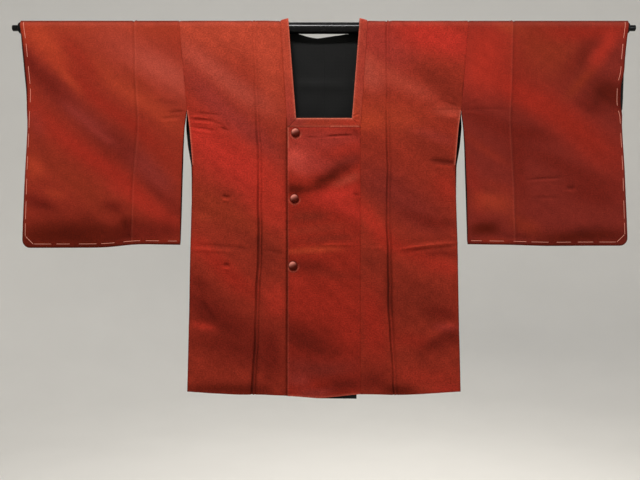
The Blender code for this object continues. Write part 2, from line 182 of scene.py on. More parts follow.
# %% [markdown]
# ## How the cloth hangs
# One function places every point of the body: it bends over the rod's crown, then falls straight
# with a slow wave. "out" moves a point outwards from the coat's outer face, so the overlap, the
# lining and the collar use the same function and never cross.

# %% Hang a point of the body


def wave(x, side, fall):
    """The slow wave of the hanging cloth, deeper towards the hem. side is -1 in front."""
    swing = np.zeros_like(x)
    for face in (-1, 1):
        depth, parts = WAVES[face]
        shape = sum(share * np.sin(2 * pi * (x - shift) / length) for share, length, shift in parts)
        swing += np.where(side == face, depth * shape, 0.0)
    return swing * ramp(fall, WAVE_START, HEM)


def hang(x, run, out, hem=None):
    """Points of the body in metres, as an array of x, y and z."""
    x, run, out = np.broadcast_arrays(*(np.asarray(part, float) for part in (x, run, out)))
    side = np.where(run < 0, -1.0, 1.0)
    fall = fall_of(run)
    front_hem = soft(hem or HEM_LINE, x, blur=14.0)
    drop_to = np.where(side < 0, front_hem, soft(hem or BACK_HEM_LINE, x, blur=14.0))
    drop = fall + (drop_to - HEM) * ramp(fall, HEM_RAMP_START, HEM)
    held = ramp(run, QUARTER, QUARTER + RISE_START) * (1 - ramp(run, *RISE_END))
    drop = drop - soft(NECK_RISE, x, blur=3.0) * held
    depth = side * (soft(BODY_DEPTH, fall, blur=30.0) + out) + wave(x, side, fall)
    angle = run / CROWN
    over = fall <= 0
    y = np.where(over, np.sin(angle) * (CROWN + out), depth)
    z = np.where(over, np.cos(angle) * (CROWN + out), -drop)
    return np.stack([x, y, z], axis=-1) * MM


print("crown of the cloth:", hang(0.0, 0.0, 0.0).round(4).tolist())

# %% [markdown]
# ## Creases
# The coat has been folded flat in a drawer, so it keeps two long folds down each front, one fold
# across the waist and one down each sleeve. The cloth also puckers where the arm slits end and
# where snaps pull from behind. Each row of a table is one soft trough, or a ridge where its depth
# is below zero. All layers share the same field, so no layer pokes through another.

# %% Press the creases
BODY_FOLD = {  # fall, x of the long fold at the wearer's right and left
    "line": [(-QUARTER, -149.5, 137.8), (60.0, -148.5, 136.2), (190.0, -142.0, 137.0),
             (300.0, -137.5, 138.6), (400.0, -136.6, 137.8), (500.0, -137.5, 139.8),
             (594.0, -142.0, 142.0), (680.0, -145.5, 146.7), (740.0, -148.5, 150.5),
             (777.0, -151.0, 154.0)],
    "depth": [(-QUARTER, 0.5, 1.0), (190.0, 0.8, 1.2), (230.0, 1.9, 1.5), (300.0, 2.3, 1.9),
              (420.0, 3.0, 2.5), (560.0, 3.3, 3.0), (777.0, 2.4, 2.4)]}
SLEEVE_FOLD = [  # fall, half width where the fold lies, at wearer's right and left
    (-QUARTER, 404.2, 403.5), (120.0, 402.0, 400.5), (205.0, 395.6, 396.8), (271.0, 402.0, 401.0),
    (338.0, 408.4, 405.4), (465.0, 412.9, 410.0)]
FOLD_APART, FOLD_HALF, RIDGE_HALF, FOLD_LEAN = 3.4, 1.6, 1.8, 0.3
SLEEVE_RIDGE, SLEEVE_TROUGH, SLEEVE_APART = (0.9, 1.9), (1.2, 2.6), 4.4  # first two: height, half width
SWAY, FADE = ((0.7, 31), (0.4, 13)), ((0.25, 47), (0.12, 17))  # height and length of two waves
BACK_FROM, BACK_TO = (0.97, 11), (0.96, 6)  # how each end of a crease moves: across, down
BACK_SOFTEST, BACK_SOFTER, BACK_SHALLOWER = 4.5, 1.2, 0.6
CREASE_BEND, CREASE_TAPER, CREASE_GAIN = 0.015, 0.25, 1.9
SWELL, SWELL_WAVES, SWELL_LENGTHS = 0.9, 7, (0.6, 1.6)
FINE_SWELL, BODY_SWELL_FALLS, SLEEVE_SWELL_FALLS = 0.25, (20.0, 160.0), (10.0, 120.0)

FRONT_CREASES = [  # x, fall, x, fall, half width, depth
    (-270, 185.5, -222, 190.5, 2.6, 1.0), (-284, 199, -236, 203, 2.4, 1.1),
    (-240, 203, -212, 214, 2.8, 0.7), (-285, 206, -240, 209.5, 2.6, -1.0),
    (-284, 215, -230, 224, 2.4, 0.9), (-286, 222, -232, 231, 3.0, -0.8),
    (-285, 193, -246, 196.5, 2.2, -0.9), (-221, 217, -205, 222.5, 3.0, 1.7),
    (-209, 202, -203, 214, 3.0, 0.8),
    (-215, 363, -203, 365.5, 3.0, 1.9), (-214, 371.5, -204, 373.5, 3.2, -2.2),
    (-215, 508, -203, 510.5, 3.0, 1.9), (-214, 516.5, -204, 518.5, 3.2, -2.1),
    (-278, 467, -148, 478, 4.0, 0.9), (-285, 476, -190, 484, 4.0, -0.7),
    (-285, 485, -190, 488, 4.0, 0.4), (-132, 478, -82, 487, 4.0, 0.8),
    (-262, 585, -236, 622, 6.0, 1.2), (-290, 640, -235, 652, 9.0, -0.9),
    (226, 286, 288, 294, 4.2, 1.4), (232, 300, 284, 303, 4.5, -0.9),
    (248, 158, 292, 173, 2.8, 0.9), (265, 145, 293, 168, 2.6, 0.8),
    (240, 180, 291, 179, 3.0, 0.7), (262, 196, 289, 192, 3.2, -0.7),
    (160, 477, 286, 463, 3.0, -2.2), (168, 485, 284, 472, 3.4, 0.7),
    (163, 466, 280, 454, 3.6, 0.6), (82, 474, 128, 474, 3.4, -0.6),
    (205, 694, 288, 652, 13.0, 0.9), (212, 666, 288, 630, 8.0, -1.0),
    (-36, 238.2, -14, 238.4, 2.4, 0.9), (2, 236, 64, 233.4, 2.3, 1.6),
    (-4, 241, 60, 239, 2.8, -0.5), (64, 222, 73, 238, 4.5, 1.1), (-12, 467.5, 66, 467.5, 2.4, -1.0),
    (-20, 473.5, 60, 474.5, 3.0, 0.4), (66, 359, 74, 362, 3.4, 1.2), (-20, 330, 60, 295, 9.0, 0.6),
    (61, 190, 74, 181, 1.4, -0.7), (60, 194, 75, 187, 1.3, 0.7), (58, 198, 76, 191.5, 1.4, -0.9),
    (63, 200, 76, 199, 1.3, 0.7), (62, 198, 76, 206.5, 1.4, -0.8), (-61, 196, -75, 200, 1.4, -0.4),
    (-86.0, 236, -85.5, 770, 3.2, 1.4)]
SLEEVE_CREASES = {  # x, fall, x, fall, half width, depth
    -1: [(-331, 185, -300, 181.5, 3.0, 1.2), (-347, 197, -308, 193, 2.8, 0.7),
         (-345, 204, -306, 202, 3.0, -0.6), (-360, 160, -300, 168, 5.0, 0.6),
         (-432, 405, -420, 455, 6.0, 1.2), (-610, 375, -560, 400, 7.0, 0.8),
         (-470, 452, -400, 448, 4.0, 0.9), (-520, 230, -440, 300, 12.0, 0.8)],
    1: [(300, 177.5, 398, 177.5, 3.0, 0.7), (304, 167, 330, 158, 2.6, 0.8),
        (300, 184, 352, 190, 2.8, -0.6), (435, 328, 515, 323.6, 2.2, 1.1),
        (437, 333, 510, 329, 2.6, -0.6), (522, 344, 534, 346, 3.6, 1.5),
        (520, 352, 536, 353, 3.4, -1.0), (448, 365, 507, 366, 2.4, 0.7),
        (560, 40, 545, 110, 12.0, 0.7), (600, 130, 566, 190, 13.0, 0.8),
        (382, 446, 440, 450, 4.5, 1.2), (540, 440, 600, 425, 9.0, 0.8)]}


def press(table, x, fall):
    """How far the creases of a table move the cloth outwards at each point."""
    lift = np.zeros_like(x)
    for x0, fall0, x1, fall1, half, depth in table:
        long = np.hypot(x1 - x0, fall1 - fall0)
        along = ((x - x0) * (x1 - x0) + (fall - fall0) * (fall1 - fall0)) / long - long / 2
        across = ((x - x0) * (fall1 - fall0) - (fall - fall0) * (x1 - x0)) / long
        across = across - CREASE_BEND * long * (1 - (2 * along / long) ** 2)
        past = np.maximum(0.0, np.abs(along) - long * CREASE_TAPER) / (long * CREASE_TAPER + half)
        lift -= CREASE_GAIN * depth * np.exp(-(across / half) ** 2 - 2 * past ** 2)
    return lift


def uneven(x, fall, seed, size, height):
    """Low, irregular swells that no flat cloth is free of: a few crossed sine waves."""
    draw = random.Random(seed)
    swell = np.zeros_like(x)
    for _ in range(SWELL_WAVES):
        turn = draw.uniform(0, pi)
        length = size * draw.uniform(*SWELL_LENGTHS)
        phase = draw.uniform(0, 2 * pi)
        swell += np.sin(2 * pi * (x * cos(turn) + fall * sin(turn)) / length + phase)
    return swell * height / (SWELL_WAVES / 2)


def long_fold(outwards, depth, side):
    """A pressed fold: a sharp ridge between two troughs, the one at the wearer's right deeper."""
    inner = (1 + FOLD_LEAN * side) * np.exp(-((outwards + FOLD_APART) / FOLD_HALF) ** 2)
    outer = (1 - FOLD_LEAN * side) * np.exp(-((outwards - FOLD_APART) / (1.5 * FOLD_HALF)) ** 2)
    ridge = (0.5 + 0.25 * depth) * np.exp(-(outwards / RIDGE_HALF) ** 2)
    return ridge - depth * (inner + outer)


def turned_over(table):
    """Similar creases for the hidden side: each one mirrored, moved a little, softer and shallower."""
    return [(-x0 * BACK_FROM[0], fall0 + BACK_FROM[1], -x1 * BACK_TO[0], fall1 + BACK_TO[1],
             max(BACK_SOFTEST, half * BACK_SOFTER), depth * BACK_SHALLOWER)
            for x0, fall0, x1, fall1, half, depth in table if abs(x0) > 100]


BACK_CREASES = turned_over(FRONT_CREASES) + [
    (-60, 120, 55, 126, 9.0, 0.9), (-110, 210, 20, 222, 12.0, 0.8), (30, 300, 150, 330, 10.0, 0.9)]


def unsteady(fall, shift, waves):
    """Two waves down the cloth, so that a long fold is never quite straight or even."""
    (high, long), (low, short) = waves
    return high * np.sin(fall / long + shift) + low * np.sin(fall / short)


def body_creases(x, run):
    """The folds and puckers of the body, at front and back, as a move outwards in millimetres."""
    fall = fall_of(run)
    front = run < 0
    lift = np.where(front, press(FRONT_CREASES, x, fall), press(BACK_CREASES, x, fall))
    for side, column in COLUMN.items():
        outwards = side * (x - soft(BODY_FOLD["line"], fall, column, blur=30.0))
        depth = soft(BODY_FOLD["depth"], fall, column, blur=40.0)
        depth = depth * np.where(front, 1.0, BACK_SHALLOWER) * (1 + unsteady(fall, 2 * side, FADE))
        lift += long_fold(outwards + unsteady(fall, side, SWAY), depth, side)
    return lift


def body_relief(x, run):
    """The creases of the body and the low swells between them."""
    fall = fall_of(run)
    swell = np.where(run < 0, uneven(x, fall, 11, 120.0, SWELL), uneven(x, fall, 12, 130.0, SWELL))
    swell = swell * ramp(fall, *BODY_SWELL_FALLS) + FINE_SWELL * uneven(x, fall, 13, 60.0, 1.0)
    return body_creases(x, run) + swell


def sleeve_creases(side, x, run):
    """The fold and puckers of a sleeve, x being signed. Its fold is a ridge with one soft trough."""
    fall = fall_of(run)
    across = x - side * soft(SLEEVE_FOLD, fall, COLUMN[side], blur=20.0)
    table = SLEEVE_CREASES[side]
    lift = np.where(run < 0, press(table, x, fall), press(
        [(-row[0], row[1], -row[2], *row[3:]) for row in turned_over(SLEEVE_CREASES[-side])], -x, fall))
    ridge, trough = (height * np.exp(-(place / half) ** 2) for place, (height, half) in (
        (across, SLEEVE_RIDGE), (across - side * SLEEVE_APART, SLEEVE_TROUGH)))
    return lift + ridge - trough


def sleeve_relief(side, x, run):
    """The creases of a sleeve and the low swells between them."""
    fall = fall_of(run)
    swell = np.where(run < 0, uneven(x, fall, 21, 130.0, 1.0), uneven(x, fall, 22, 120.0, 1.0))
    return sleeve_creases(side, x, run) + swell * ramp(fall, *SLEEVE_SWELL_FALLS) * SWELL


print("creases on the front:", len(FRONT_CREASES), "and on the back:", len(BACK_CREASES))

# %% [markdown]
# ## The dye
# Bokashi is dye brushed on wet silk, so each stroke fades at its edges. Most strokes here run
# down and to the right, as the brush crossed the bolt. A row of a table is one stroke: where it
# is, how long and wide, its slant, the dye and how strong. The strokes are laid one over another
# on the flat cut, into a colour attribute that the silk's material reads.

# %% Brush the dye


def linear(code):
    """An sRGB hex colour as linear red, green and blue."""
    shares = [int(code[place:place + 2], 16) / 255 for place in (0, 2, 4)]
    return np.array([s / 12.92 if s <= 0.04045 else ((s + 0.055) / 1.055) ** 2.4 for s in shares])


# Besides dyes this table holds painted light: the pale edge colour is a painted highlight, button is the
# painted highlight of the buttons, and deep is both a dye and the painted shade along edges, in creases
# and round the buttons.
DYES_AND_PAINTED_LIGHT = {name: linear(code) for name, code in {
    "ember": "AA3C23", "orange": "9F3822", "coral": "AC412C", "shoulder": "A03C2C",
    "pink": "A84536", "brick": "983229", "scarlet": "A52D1F", "flame": "AE2D22",
    "red": "99271A", "madder": "8E2518", "rust": "8B2B1C", "olive": "862C1A",
    "umber": "782518", "maroon": "8A3028", "plum": "78261D", "dark": "691B12",
    "deep": "4E1107", "rose_highlight": "BC463A", "painted_highlight": "D0705A", "button": "E08A7A"}.items()}

# The strokes give the tones of the coat as it hangs, so not all of them are dye: the dark and deep
# strokes across the overlap's drape fold, along the lower folds, at the hems, at the sleeves' feet and
# by the wearer's left cuff are painted shade as well as dye, and the rose stroke above the drape fold is
# a painted highlight.
STROKES = {  # x, fall, half length, half width, slant, dye, strength
    "sleeve_right": ("rust", [
        (-470, 0, 240, 42, 0, "orange", 0.7), (-385, 70, 130, 48, 35, "shoulder", 0.9),
        (-345, 98, 70, 24, 36, "pink", 0.9), (-588, 50, 66, 21, 50, "ember", 1.0),
        (-400, 146, 130, 22, 38, "orange", 0.9), (-402, 110, 44, 10, 45, "olive", 0.6),
        (-455, 178, 170, 18, 42, "madder", 0.8), (-520, 70, 60, 16, 42, "madder", 0.6),
        (-545, 112, 40, 10, 45, "ember", 0.7), (-480, 222, 230, 27, 42, "plum", 0.95),
        (-628, 72, 30, 13, 80, "dark", 0.7), (-595, 124, 62, 22, 44, "dark", 0.85),
        (-440, 262, 46, 24, 50, "dark", 0.5), (-520, 192, 46, 10, 32, "maroon", 0.7),
        (-480, 232, 40, 8, 40, "maroon", 0.6), (-470, 300, 200, 22, 38, "red", 0.85),
        (-615, 212, 30, 16, 60, "maroon", 0.4), (-535, 330, 110, 32, 45, "olive", 0.8),
        (-600, 262, 44, 14, 60, "umber", 0.5), (-620, 300, 28, 24, 60, "ember", 0.6),
        (-577, 358, 20, 9, 20, "ember", 0.5), (-610, 374, 34, 14, 25, "dark", 0.95),
        (-450, 350, 20, 9, 20, "flame", 0.2), (-380, 380, 90, 17, 35, "scarlet", 0.6),
        (-338, 360, 54, 13, 40, "dark", 0.6), (-365, 312, 50, 18, 36, "maroon", 0.7),
        (-452, 386, 26, 13, 10, "dark", 0.8), (-427, 428, 18, 24, 80, "deep", 0.9),
        (-318, 394, 22, 14, 10, "dark", 0.4), (-545, 440, 160, 36, 0, "deep", 0.95),
        (-465, 412, 28, 12, 10, "rust", 0.6),
        (-365, 438, 70, 26, 0, "dark", 0.9), (-390, 463, 60, 6, 0, "rust", 0.5)]),
    "body_right": ("rust", [
        (-190, 0, 200, 76, 0, "coral", 0.9), (-110, 90, 90, 34, 85, "coral", 0.8),
        (-220, 108, 130, 26, 35, "pink", 0.8), (-200, 192, 135, 24, 41, "maroon", 0.95),
        (-190, 296, 150, 56, 43, "flame", 1.0), (-265, 222, 34, 26, 20, "flame", 0.9),
        (-120, 372, 60, 34, 70, "scarlet", 0.8), (-215, 400, 120, 34, 30, "olive", 0.95),
        (-205, 362, 30, 9, 10, "umber", 0.5), (-257, 408, 18, 9, 10, "orange", 0.6),
        (-160, 452, 60, 16, 25, "umber", 0.6), (-215, 518, 90, 20, 38, "red", 0.95),
        (-272, 476, 26, 16, 10, "scarlet", 0.8), (-225, 615, 100, 40, 36, "dark", 1.0),
        (-268, 548, 24, 14, 20, "dark", 0.6), (-257, 635, 24, 8, 8, "scarlet", 0.8),
        (-200, 684, 90, 24, 15, "dark", 0.8), (-248, 727, 46, 15, 4, "rust", 0.9),
        (-190, 716, 44, 14, 10, "dark", 0.45), (-256, 768, 44, 12, 0, "deep", 0.4),
        (-180, 768, 110, 12, 0, "deep", 0.7),
        (-120, 484, 38, 24, 85, "umber", 0.95), (-106, 585, 36, 22, 85, "scarlet", 0.8),
        (-116, 690, 58, 28, 88, "dark", 0.95), (-153, 715, 75, 8, 92, "deep", 0.4),
        (-98, 764, 16, 12, 0, "rust", 0.9)]),
    "overlap": ("madder", [
        # The rose stroke is a painted highlight above the drape fold; the plum, dark and deep strokes
        # that cross the overlap below it are painted shade in that fold.
        (0, 242, 90, 26, 0, "brick", 0.9), (-55, 282, 36, 24, 15, "rose_highlight", 1.0),
        (-12, 290, 44, 20, 10, "brick", 0.9), (50, 260, 30, 12, -10, "scarlet", 0.5),
        (44, 289, 40, 14, -12, "plum", 0.9), (38, 303, 28, 10, -15, "dark", 0.8),
        (4, 321, 34, 13, -25, "deep", 0.95), (-26, 343, 46, 9, -12, "deep", 0.75),
        (-62, 345, 20, 12, 0, "deep", 0.9), (47, 328, 30, 10, -20, "shoulder", 0.9),
        (28, 360, 54, 20, -8, "flame", 1.0), (50, 395, 50, 18, 26, "flame", 0.7),
        (-32, 408, 40, 13, 5, "umber", 0.9), (-15, 436, 60, 10, 0, "rust", 0.9),
        (12, 457, 60, 8, 0, "umber", 0.8), (-26, 478, 60, 7, 0, "ember", 0.8),
        (-35, 512, 48, 15, 5, "dark", 0.7), (20, 528, 50, 10, 0, "umber", 0.5),
        (-58, 550, 24, 14, 20, "scarlet", 0.9), (0, 590, 90, 26, 10, "red", 0.9),
        (58, 640, 42, 34, 60, "red", 0.9), (-38, 660, 64, 32, 14, "dark", 1.0),
        (14, 678, 34, 10, 12, "dark", 0.7), (-15, 716, 90, 22, 2, "plum", 0.95),
        (-55, 742, 26, 14, 0, "maroon", 0.7), (46, 755, 40, 18, 4, "dark", 1.0),
        (-20, 768, 36, 10, 0, "maroon", 0.8), (0, 790, 80, 6, 0, "shoulder", 0.8)]),
    "body_left": ("rust", [
        (120, 25, 90, 60, 40, "brick", 0.85), (95, 98, 44, 28, 40, "pink", 0.95),
        (245, 22, 100, 36, 18, "flame", 1.0), (170, 122, 80, 19, 30, "shoulder", 0.9),
        (255, 130, 60, 28, 40, "umber", 0.85), (268, 187, 34, 11, 5, "shoulder", 0.95),
        (130, 190, 90, 38, 15, "orange", 0.7), (87, 205, 16, 34, 80, "ember", 0.7),
        (235, 235, 50, 12, 12, "maroon", 0.5), (235, 264, 60, 18, 20, "umber", 0.8),
        (257, 288, 30, 9, 8, "deep", 0.5), (262, 345, 34, 26, 60, "red", 0.5),
        (165, 368, 120, 42, 32, "plum", 1.0), (195, 400, 40, 12, 10, "dark", 0.5),
        (240, 415, 38, 13, 10, "dark", 0.8), (97, 415, 70, 20, 48, "scarlet", 1.0),
        (180, 480, 80, 17, 22, "red", 0.7), (100, 500, 34, 18, 20, "umber", 0.8),
        (248, 464, 34, 9, 5, "rust", 0.6), (252, 489, 34, 9, 5, "dark", 0.7),
        (250, 520, 48, 16, 12, "scarlet", 0.7), (195, 585, 80, 46, 18, "umber", 0.95),
        (250, 610, 38, 14, 5, "dark", 0.8), (262, 640, 28, 9, 0, "brick", 0.7),
        (250, 672, 52, 20, -24, "dark", 0.65), (104, 628, 78, 30, 86, "red", 0.95),
        (185, 672, 34, 16, 10, "red", 0.5), (225, 740, 74, 16, 4, "scarlet", 0.45),
        (262, 766, 34, 10, 0, "flame", 0.5), (100, 752, 36, 26, 0, "dark", 0.8),
        (162, 766, 34, 13, 0, "deep", 0.8), (142, 543, 80, 8, 88, "deep", 0.4)]),
    "sleeve_left": ("plum", [
        (470, 45, 90, 70, 20, "olive", 1.0), (343, 68, 84, 64, 88, "scarlet", 1.0),
        (560, 10, 100, 22, 0, "madder", 0.9), (515, 203, 165, 42, 38, "madder", 1.0),
        (425, 142, 66, 22, 32, "red", 0.9), (398, 8, 30, 12, 10, "orange", 0.8),
        (545, 70, 60, 20, -52, "dark", 0.55), (552, 122, 48, 12, -42, "olive", 0.95),
        (600, 50, 46, 17, -62, "scarlet", 0.85), (612, 148, 52, 30, 12, "deep", 0.8),
        (566, 172, 30, 12, 20, "dark", 0.7), (355, 206, 74, 20, 26, "dark", 0.8),
        (345, 275, 62, 46, 20, "plum", 0.95), (352, 262, 56, 9, 36, "rust", 0.6),
        (322, 345, 60, 16, 80, "red", 0.35), (362, 380, 46, 22, 12, "ember", 0.55),
        (372, 345, 40, 12, 20, "rust", 0.5), (345, 434, 34, 14, 0, "deep", 0.95),
        (372, 458, 34, 7, 0, "rust", 0.8), (430, 425, 34, 14, 15, "olive", 0.8),
        (460, 355, 60, 18, 30, "plum", 0.8), (520, 400, 90, 16, 25, "plum", 0.8),
        (432, 232, 56, 20, 16, "dark", 0.85), (416, 300, 60, 16, 85, "dark", 0.6),
        (520, 302, 120, 16, 20, "dark", 0.7), (575, 350, 64, 28, 20, "dark", 0.8),
        (560, 448, 110, 18, 0, "deep", 0.9)]),
    "collar": ("shoulder", [
        (-85, 60, 110, 30, 90, "coral", 0.6), (85, 60, 110, 30, 90, "brick", 0.5),
        (-78, 180, 60, 20, 88, "brick", 0.6), (74, 190, 40, 16, 88, "orange", 0.8),
        (-10, 206, 60, 16, 0, "rust", 0.7), (-60, 208, 22, 14, 0, "maroon", 0.8),
        (55, 206, 26, 14, 0, "scarlet", 0.6)])}


def brush(colour, x, fall, strokes):
    """Lay soft strokes over an array of colours, in order."""
    drift = 4 * np.sin(x / 47 + fall / 63) + 3 * np.sin(fall / 29 - x / 71)  # bends the strokes
    for x0, fall0, long, wide, slant, dye_and_painted_light, strength in strokes:
        turn = radians(slant)
        along = ((x - x0) * cos(turn) + (fall - fall0) * sin(turn)) / long
        across = (drift - (x - x0) * sin(turn) + (fall - fall0) * cos(turn)) / wide
        share = strength * np.exp(-np.abs(along) ** 3 - np.abs(across) ** 2.2)
        colour += share[..., None] * (DYES_AND_PAINTED_LIGHT[dye_and_painted_light] - colour)
    return colour


HIDDEN_DYES = ["flame", "maroon", "olive", "red", "plum", "dark", "orange", "scarlet"]
HIDDEN_LONG, HIDDEN_WIDE, HIDDEN_SLANT, HIDDEN_STRONG = (90, 200), (16, 34), (30, 44), (0.5, 0.9)
HIDDEN_STEP, HIDDEN_RISE, HIDDEN_CLEAR = (14, 30), 0.7, 30


def hidden_strokes(seed, left, right, foot):
    """Strokes for the side the photograph doesn't show: the same brush, in a drawn order."""
    draw = random.Random(seed)
    made = []
    middle, width = (left + right) / 2, right - left
    start = -0.6 * width
    while start < foot + 60:
        x = draw.uniform(left + HIDDEN_CLEAR, right - HIDDEN_CLEAR)
        made.append((x, start + HIDDEN_RISE * (right - x), draw.uniform(*HIDDEN_LONG),
                     draw.uniform(*HIDDEN_WIDE), -draw.uniform(*HIDDEN_SLANT),
                     draw.choice(HIDDEN_DYES), draw.uniform(*HIDDEN_STRONG)))
        start += draw.uniform(*HIDDEN_STEP)
    # The deep band along the foot is painted shade.
    made.append((middle, foot, width, 20, 0, "deep", 0.7))
    made.append((middle, -10, width, 50, 0, "shoulder", 0.8))
    return made


HEM_SHADE, HEM_SHADE_START, HEM_SHADE_FULL = 0.09, 450.0, 640.0
# Painted shade in the troughs of creases and painted highlight on their ridges.
TROUGH_SHADE, TROUGH_DEEPEST, RIDGE_HIGHLIGHT, RIDGE_HIGHEST = 0.11, 3.2, 0.12, 2.2
BODY_SEED, SLEEVE_SEED, GUSSET_SEED = 31, 41, 51
EDGE_REACH = 2.2
# Distances from the crown's top, along the cloth, of a painted highlight and of a painted shade.
CROWN_HIGHLIGHT, CROWN_SHADE = 17.0, 8.0


def ground(dye_and_painted_light, shape):
    """An array of one dye, for strokes to be laid on."""
    return np.broadcast_to(DYES_AND_PAINTED_LIGHT[dye_and_painted_light], (*shape, 3)).copy()


def dyed_and_hem_shaded(pattern, x, run, back_strokes=()):
    """The colour of a piece at each of its points, given on the flat cut: its dyes, and painted shade
    darkening the front towards the hem.
    """
    base, strokes = STROKES[pattern]
    back = brush(ground(base, x.shape), x, run - QUARTER, back_strokes)
    front = brush(ground(base, x.shape), x, -run - QUARTER, strokes)
    front *= (1 - HEM_SHADE * ramp(-run - QUARTER, HEM_SHADE_START, HEM_SHADE_FULL))[..., None]
    return back + ramp(-run, -QUARTER, QUARTER)[..., None] * (front - back)


def crease_shade_and_highlight(colour, crease):
    """Painted shade and painted highlight on a fold: darker in a trough, paler on a ridge."""
    trough = TROUGH_SHADE * np.clip(crease, -TROUGH_DEEPEST, 0)
    ridge = RIDGE_HIGHLIGHT * np.clip(crease, 0, RIDGE_HIGHEST)
    return colour * (1 + trough + ridge)[..., None]


def edged(colour, *edges):
    """Painted light along edges: a painted highlight where a fold catches the light, painted shade where
    it turns away from it. An edge is the distance from it, the colour, how strong it is there, and how
    far it reaches."""
    for from_edge, dye_and_painted_light, strength, reach in edges:
        share = strength * np.exp(-(from_edge / reach) ** 2)
        colour = colour + share[..., None] * (DYES_AND_PAINTED_LIGHT[dye_and_painted_light] - colour)
    return colour


print("dye strokes placed by hand:", sum(len(rows) for _, rows in STROKES.values()))

# %% [markdown]
# ## Materials
# The coat is crepe silk: its threads are overtwisted, so it has a fine pebbled grain and hardly
# any shine. The colour comes from the brushed attribute, which holds the dyes together with the
# painted shade and painted highlights of creases, edges and buttons. Streaks along the brush's slant, a
# mottle and the grain are noise on the cut's own UV map, which is in metres, so the pattern follows the
# cloth. Real crepe grain is about 0.6 mm. It is drawn here at 1.6 mm and more, so that it shows.
# A second attribute says how clearly the grain shows: less on the sleeves, which hang smooth.

# %% Make the silk


def add_node(tree, kind, settings=None, **links):
    """Add a node. Settings are properties or input values; links feed inputs from sockets."""
    made = tree.nodes.new(kind)
    for name, value in (settings or {}).items():
        if isinstance(name, int) or name in made.inputs:
            made.inputs[name].default_value = value
        else:
            setattr(made, name, value)
    for name, socket in links.items():
        key = int(name[1:]) if name[0] == "_" else name.replace("_", " ")
        tree.links.new(socket, made.inputs[key])
    return made


def new_material(name, roughness, **shader_values):
    """A material with values on its shader's own sockets. Returns it and its node tree."""
    made = bpy.data.materials.new(name)
    made.use_nodes = True
    inputs = made.node_tree.nodes["Principled BSDF"].inputs
    inputs["Roughness"].default_value = roughness
    for key, value in shader_values.items():
        inputs[key.replace("_", " ")].default_value = value
    return made, made.node_tree


def feed(tree, name, source):
    """Link a socket to an input of the shader."""
    tree.links.new(source, tree.nodes["Principled BSDF"].inputs[name])


def noise(tree, place, scale, detail=2.0, **settings):
    return add_node(tree, "ShaderNodeTexNoise", {"Scale": scale, "Detail": detail, **settings},
                    Vector=place).outputs[0]


def mapped(tree, place, **settings):
    return add_node(tree, "ShaderNodeMapping", settings, Vector=place).outputs[0]


def ranged(tree, source, low, high):
    """Noise mostly keeps between 0.3 and 0.7. This spreads it from low to high."""
    return add_node(tree, "ShaderNodeMapRange", {
        "From Min": 0.3, "From Max": 0.7, "To Min": low, "To Max": high}, Value=source).outputs[0]


def maths(tree, operation, first, second=None):
    """Work on one socket, or on two. The second may be a number."""
    settings, links = {"operation": operation}, {"_0": first}
    if isinstance(second, float):
        settings[1] = second
    elif second is not None:
        links["_1"] = second
    return add_node(tree, "ShaderNodeMath", settings, **links).outputs[0]


def tinted(tree, share, low, high):
    """Give the shader a colour between two hex codes."""
    tint = add_node(tree, "ShaderNodeMix", {
        "data_type": "RGBA", 6: (*linear(low), 1), 7: (*linear(high), 1)}, _0=share)
    feed(tree, "Base Color", tint.outputs[2])


def object_place(tree):
    return add_node(tree, "ShaderNodeTexCoord").outputs["Object"]


def bumped(tree, height, strength, distance=0.0002):
    bump = add_node(tree, "ShaderNodeBump", {"Strength": strength, "Distance": distance}, Height=height)
    feed(tree, "Normal", bump.outputs[0])


def crepe_silk(name):
    """Dyed crepe: matt, pebbled, with brush streaks that follow the slant of the dye."""
    made, tree = new_material(
        name, 0.78, Sheen_Weight=0.05, Sheen_Roughness=0.5, Sheen_Tint=(0.9, 0.4, 0.3, 1.0),
        Specular_IOR_Level=0.12, Specular_Tint=(0.95, 0.5, 0.4, 1.0))
    cut = add_node(tree, "ShaderNodeUVMap", {"uv_map": "cut"}).outputs[0]
    slanted = mapped(tree, cut, Rotation=(0, 0, radians(38)))
    streaks = noise(tree, mapped(tree, slanted, Scale=(5.0, 42.0, 1.0)), 1.0, 3.0)
    mottle = noise(tree, cut, 55.0, 4.0, Roughness=0.75)
    grain = noise(tree, mapped(tree, cut, Scale=(290.0, 380.0, 1.0)), 1.0, 3.0, Roughness=0.7)
    tone = maths(tree, "MULTIPLY", ranged(tree, streaks, 0.88, 1.12), ranged(tree, mottle, 0.8, 1.2))
    tone = maths(tree, "MULTIPLY", tone, ranged(tree, grain, 0.55, 1.45))
    clear = add_node(tree, "ShaderNodeAttribute", {"attribute_name": "grain"}).outputs["Fac"]
    shown = add_node(tree, "ShaderNodeMix", {"data_type": "FLOAT", 2: 1.0}, _0=clear, _3=tone)
    # This attribute holds the dyes together with painted shade and painted highlights.
    dye_and_painted_light = add_node(tree, "ShaderNodeAttribute", {"attribute_name": "dye_and_painted_light"}).outputs["Color"]
    colour = add_node(tree, "ShaderNodeVectorMath", {"operation": "SCALE"},
                      _0=dye_and_painted_light, Scale=shown.outputs[0])
    feed(tree, "Base Color", colour.outputs[0])
    feed(tree, "Roughness", ranged(tree, grain, 0.7, 0.88))
    pebble = add_node(tree, "ShaderNodeTexVoronoi", {"Scale": 620.0, "feature": "SMOOTH_F1"}, Vector=cut)
    bumped(tree, maths(tree, "ADD", grain, pebble.outputs["Distance"]), 0.55, 0.0005)
    return made


SILK = crepe_silk("dyed_crepe_silk")
print("silk nodes:", len(SILK.node_tree.nodes))

# %% [markdown]
# The lining is plain black silk, woven flat: smoother than crepe, with a low sheen. Its threads
# are about 0.1 mm apart. They are drawn at 1.2 mm, which is as fine as a render shows.

# %% Make the lining


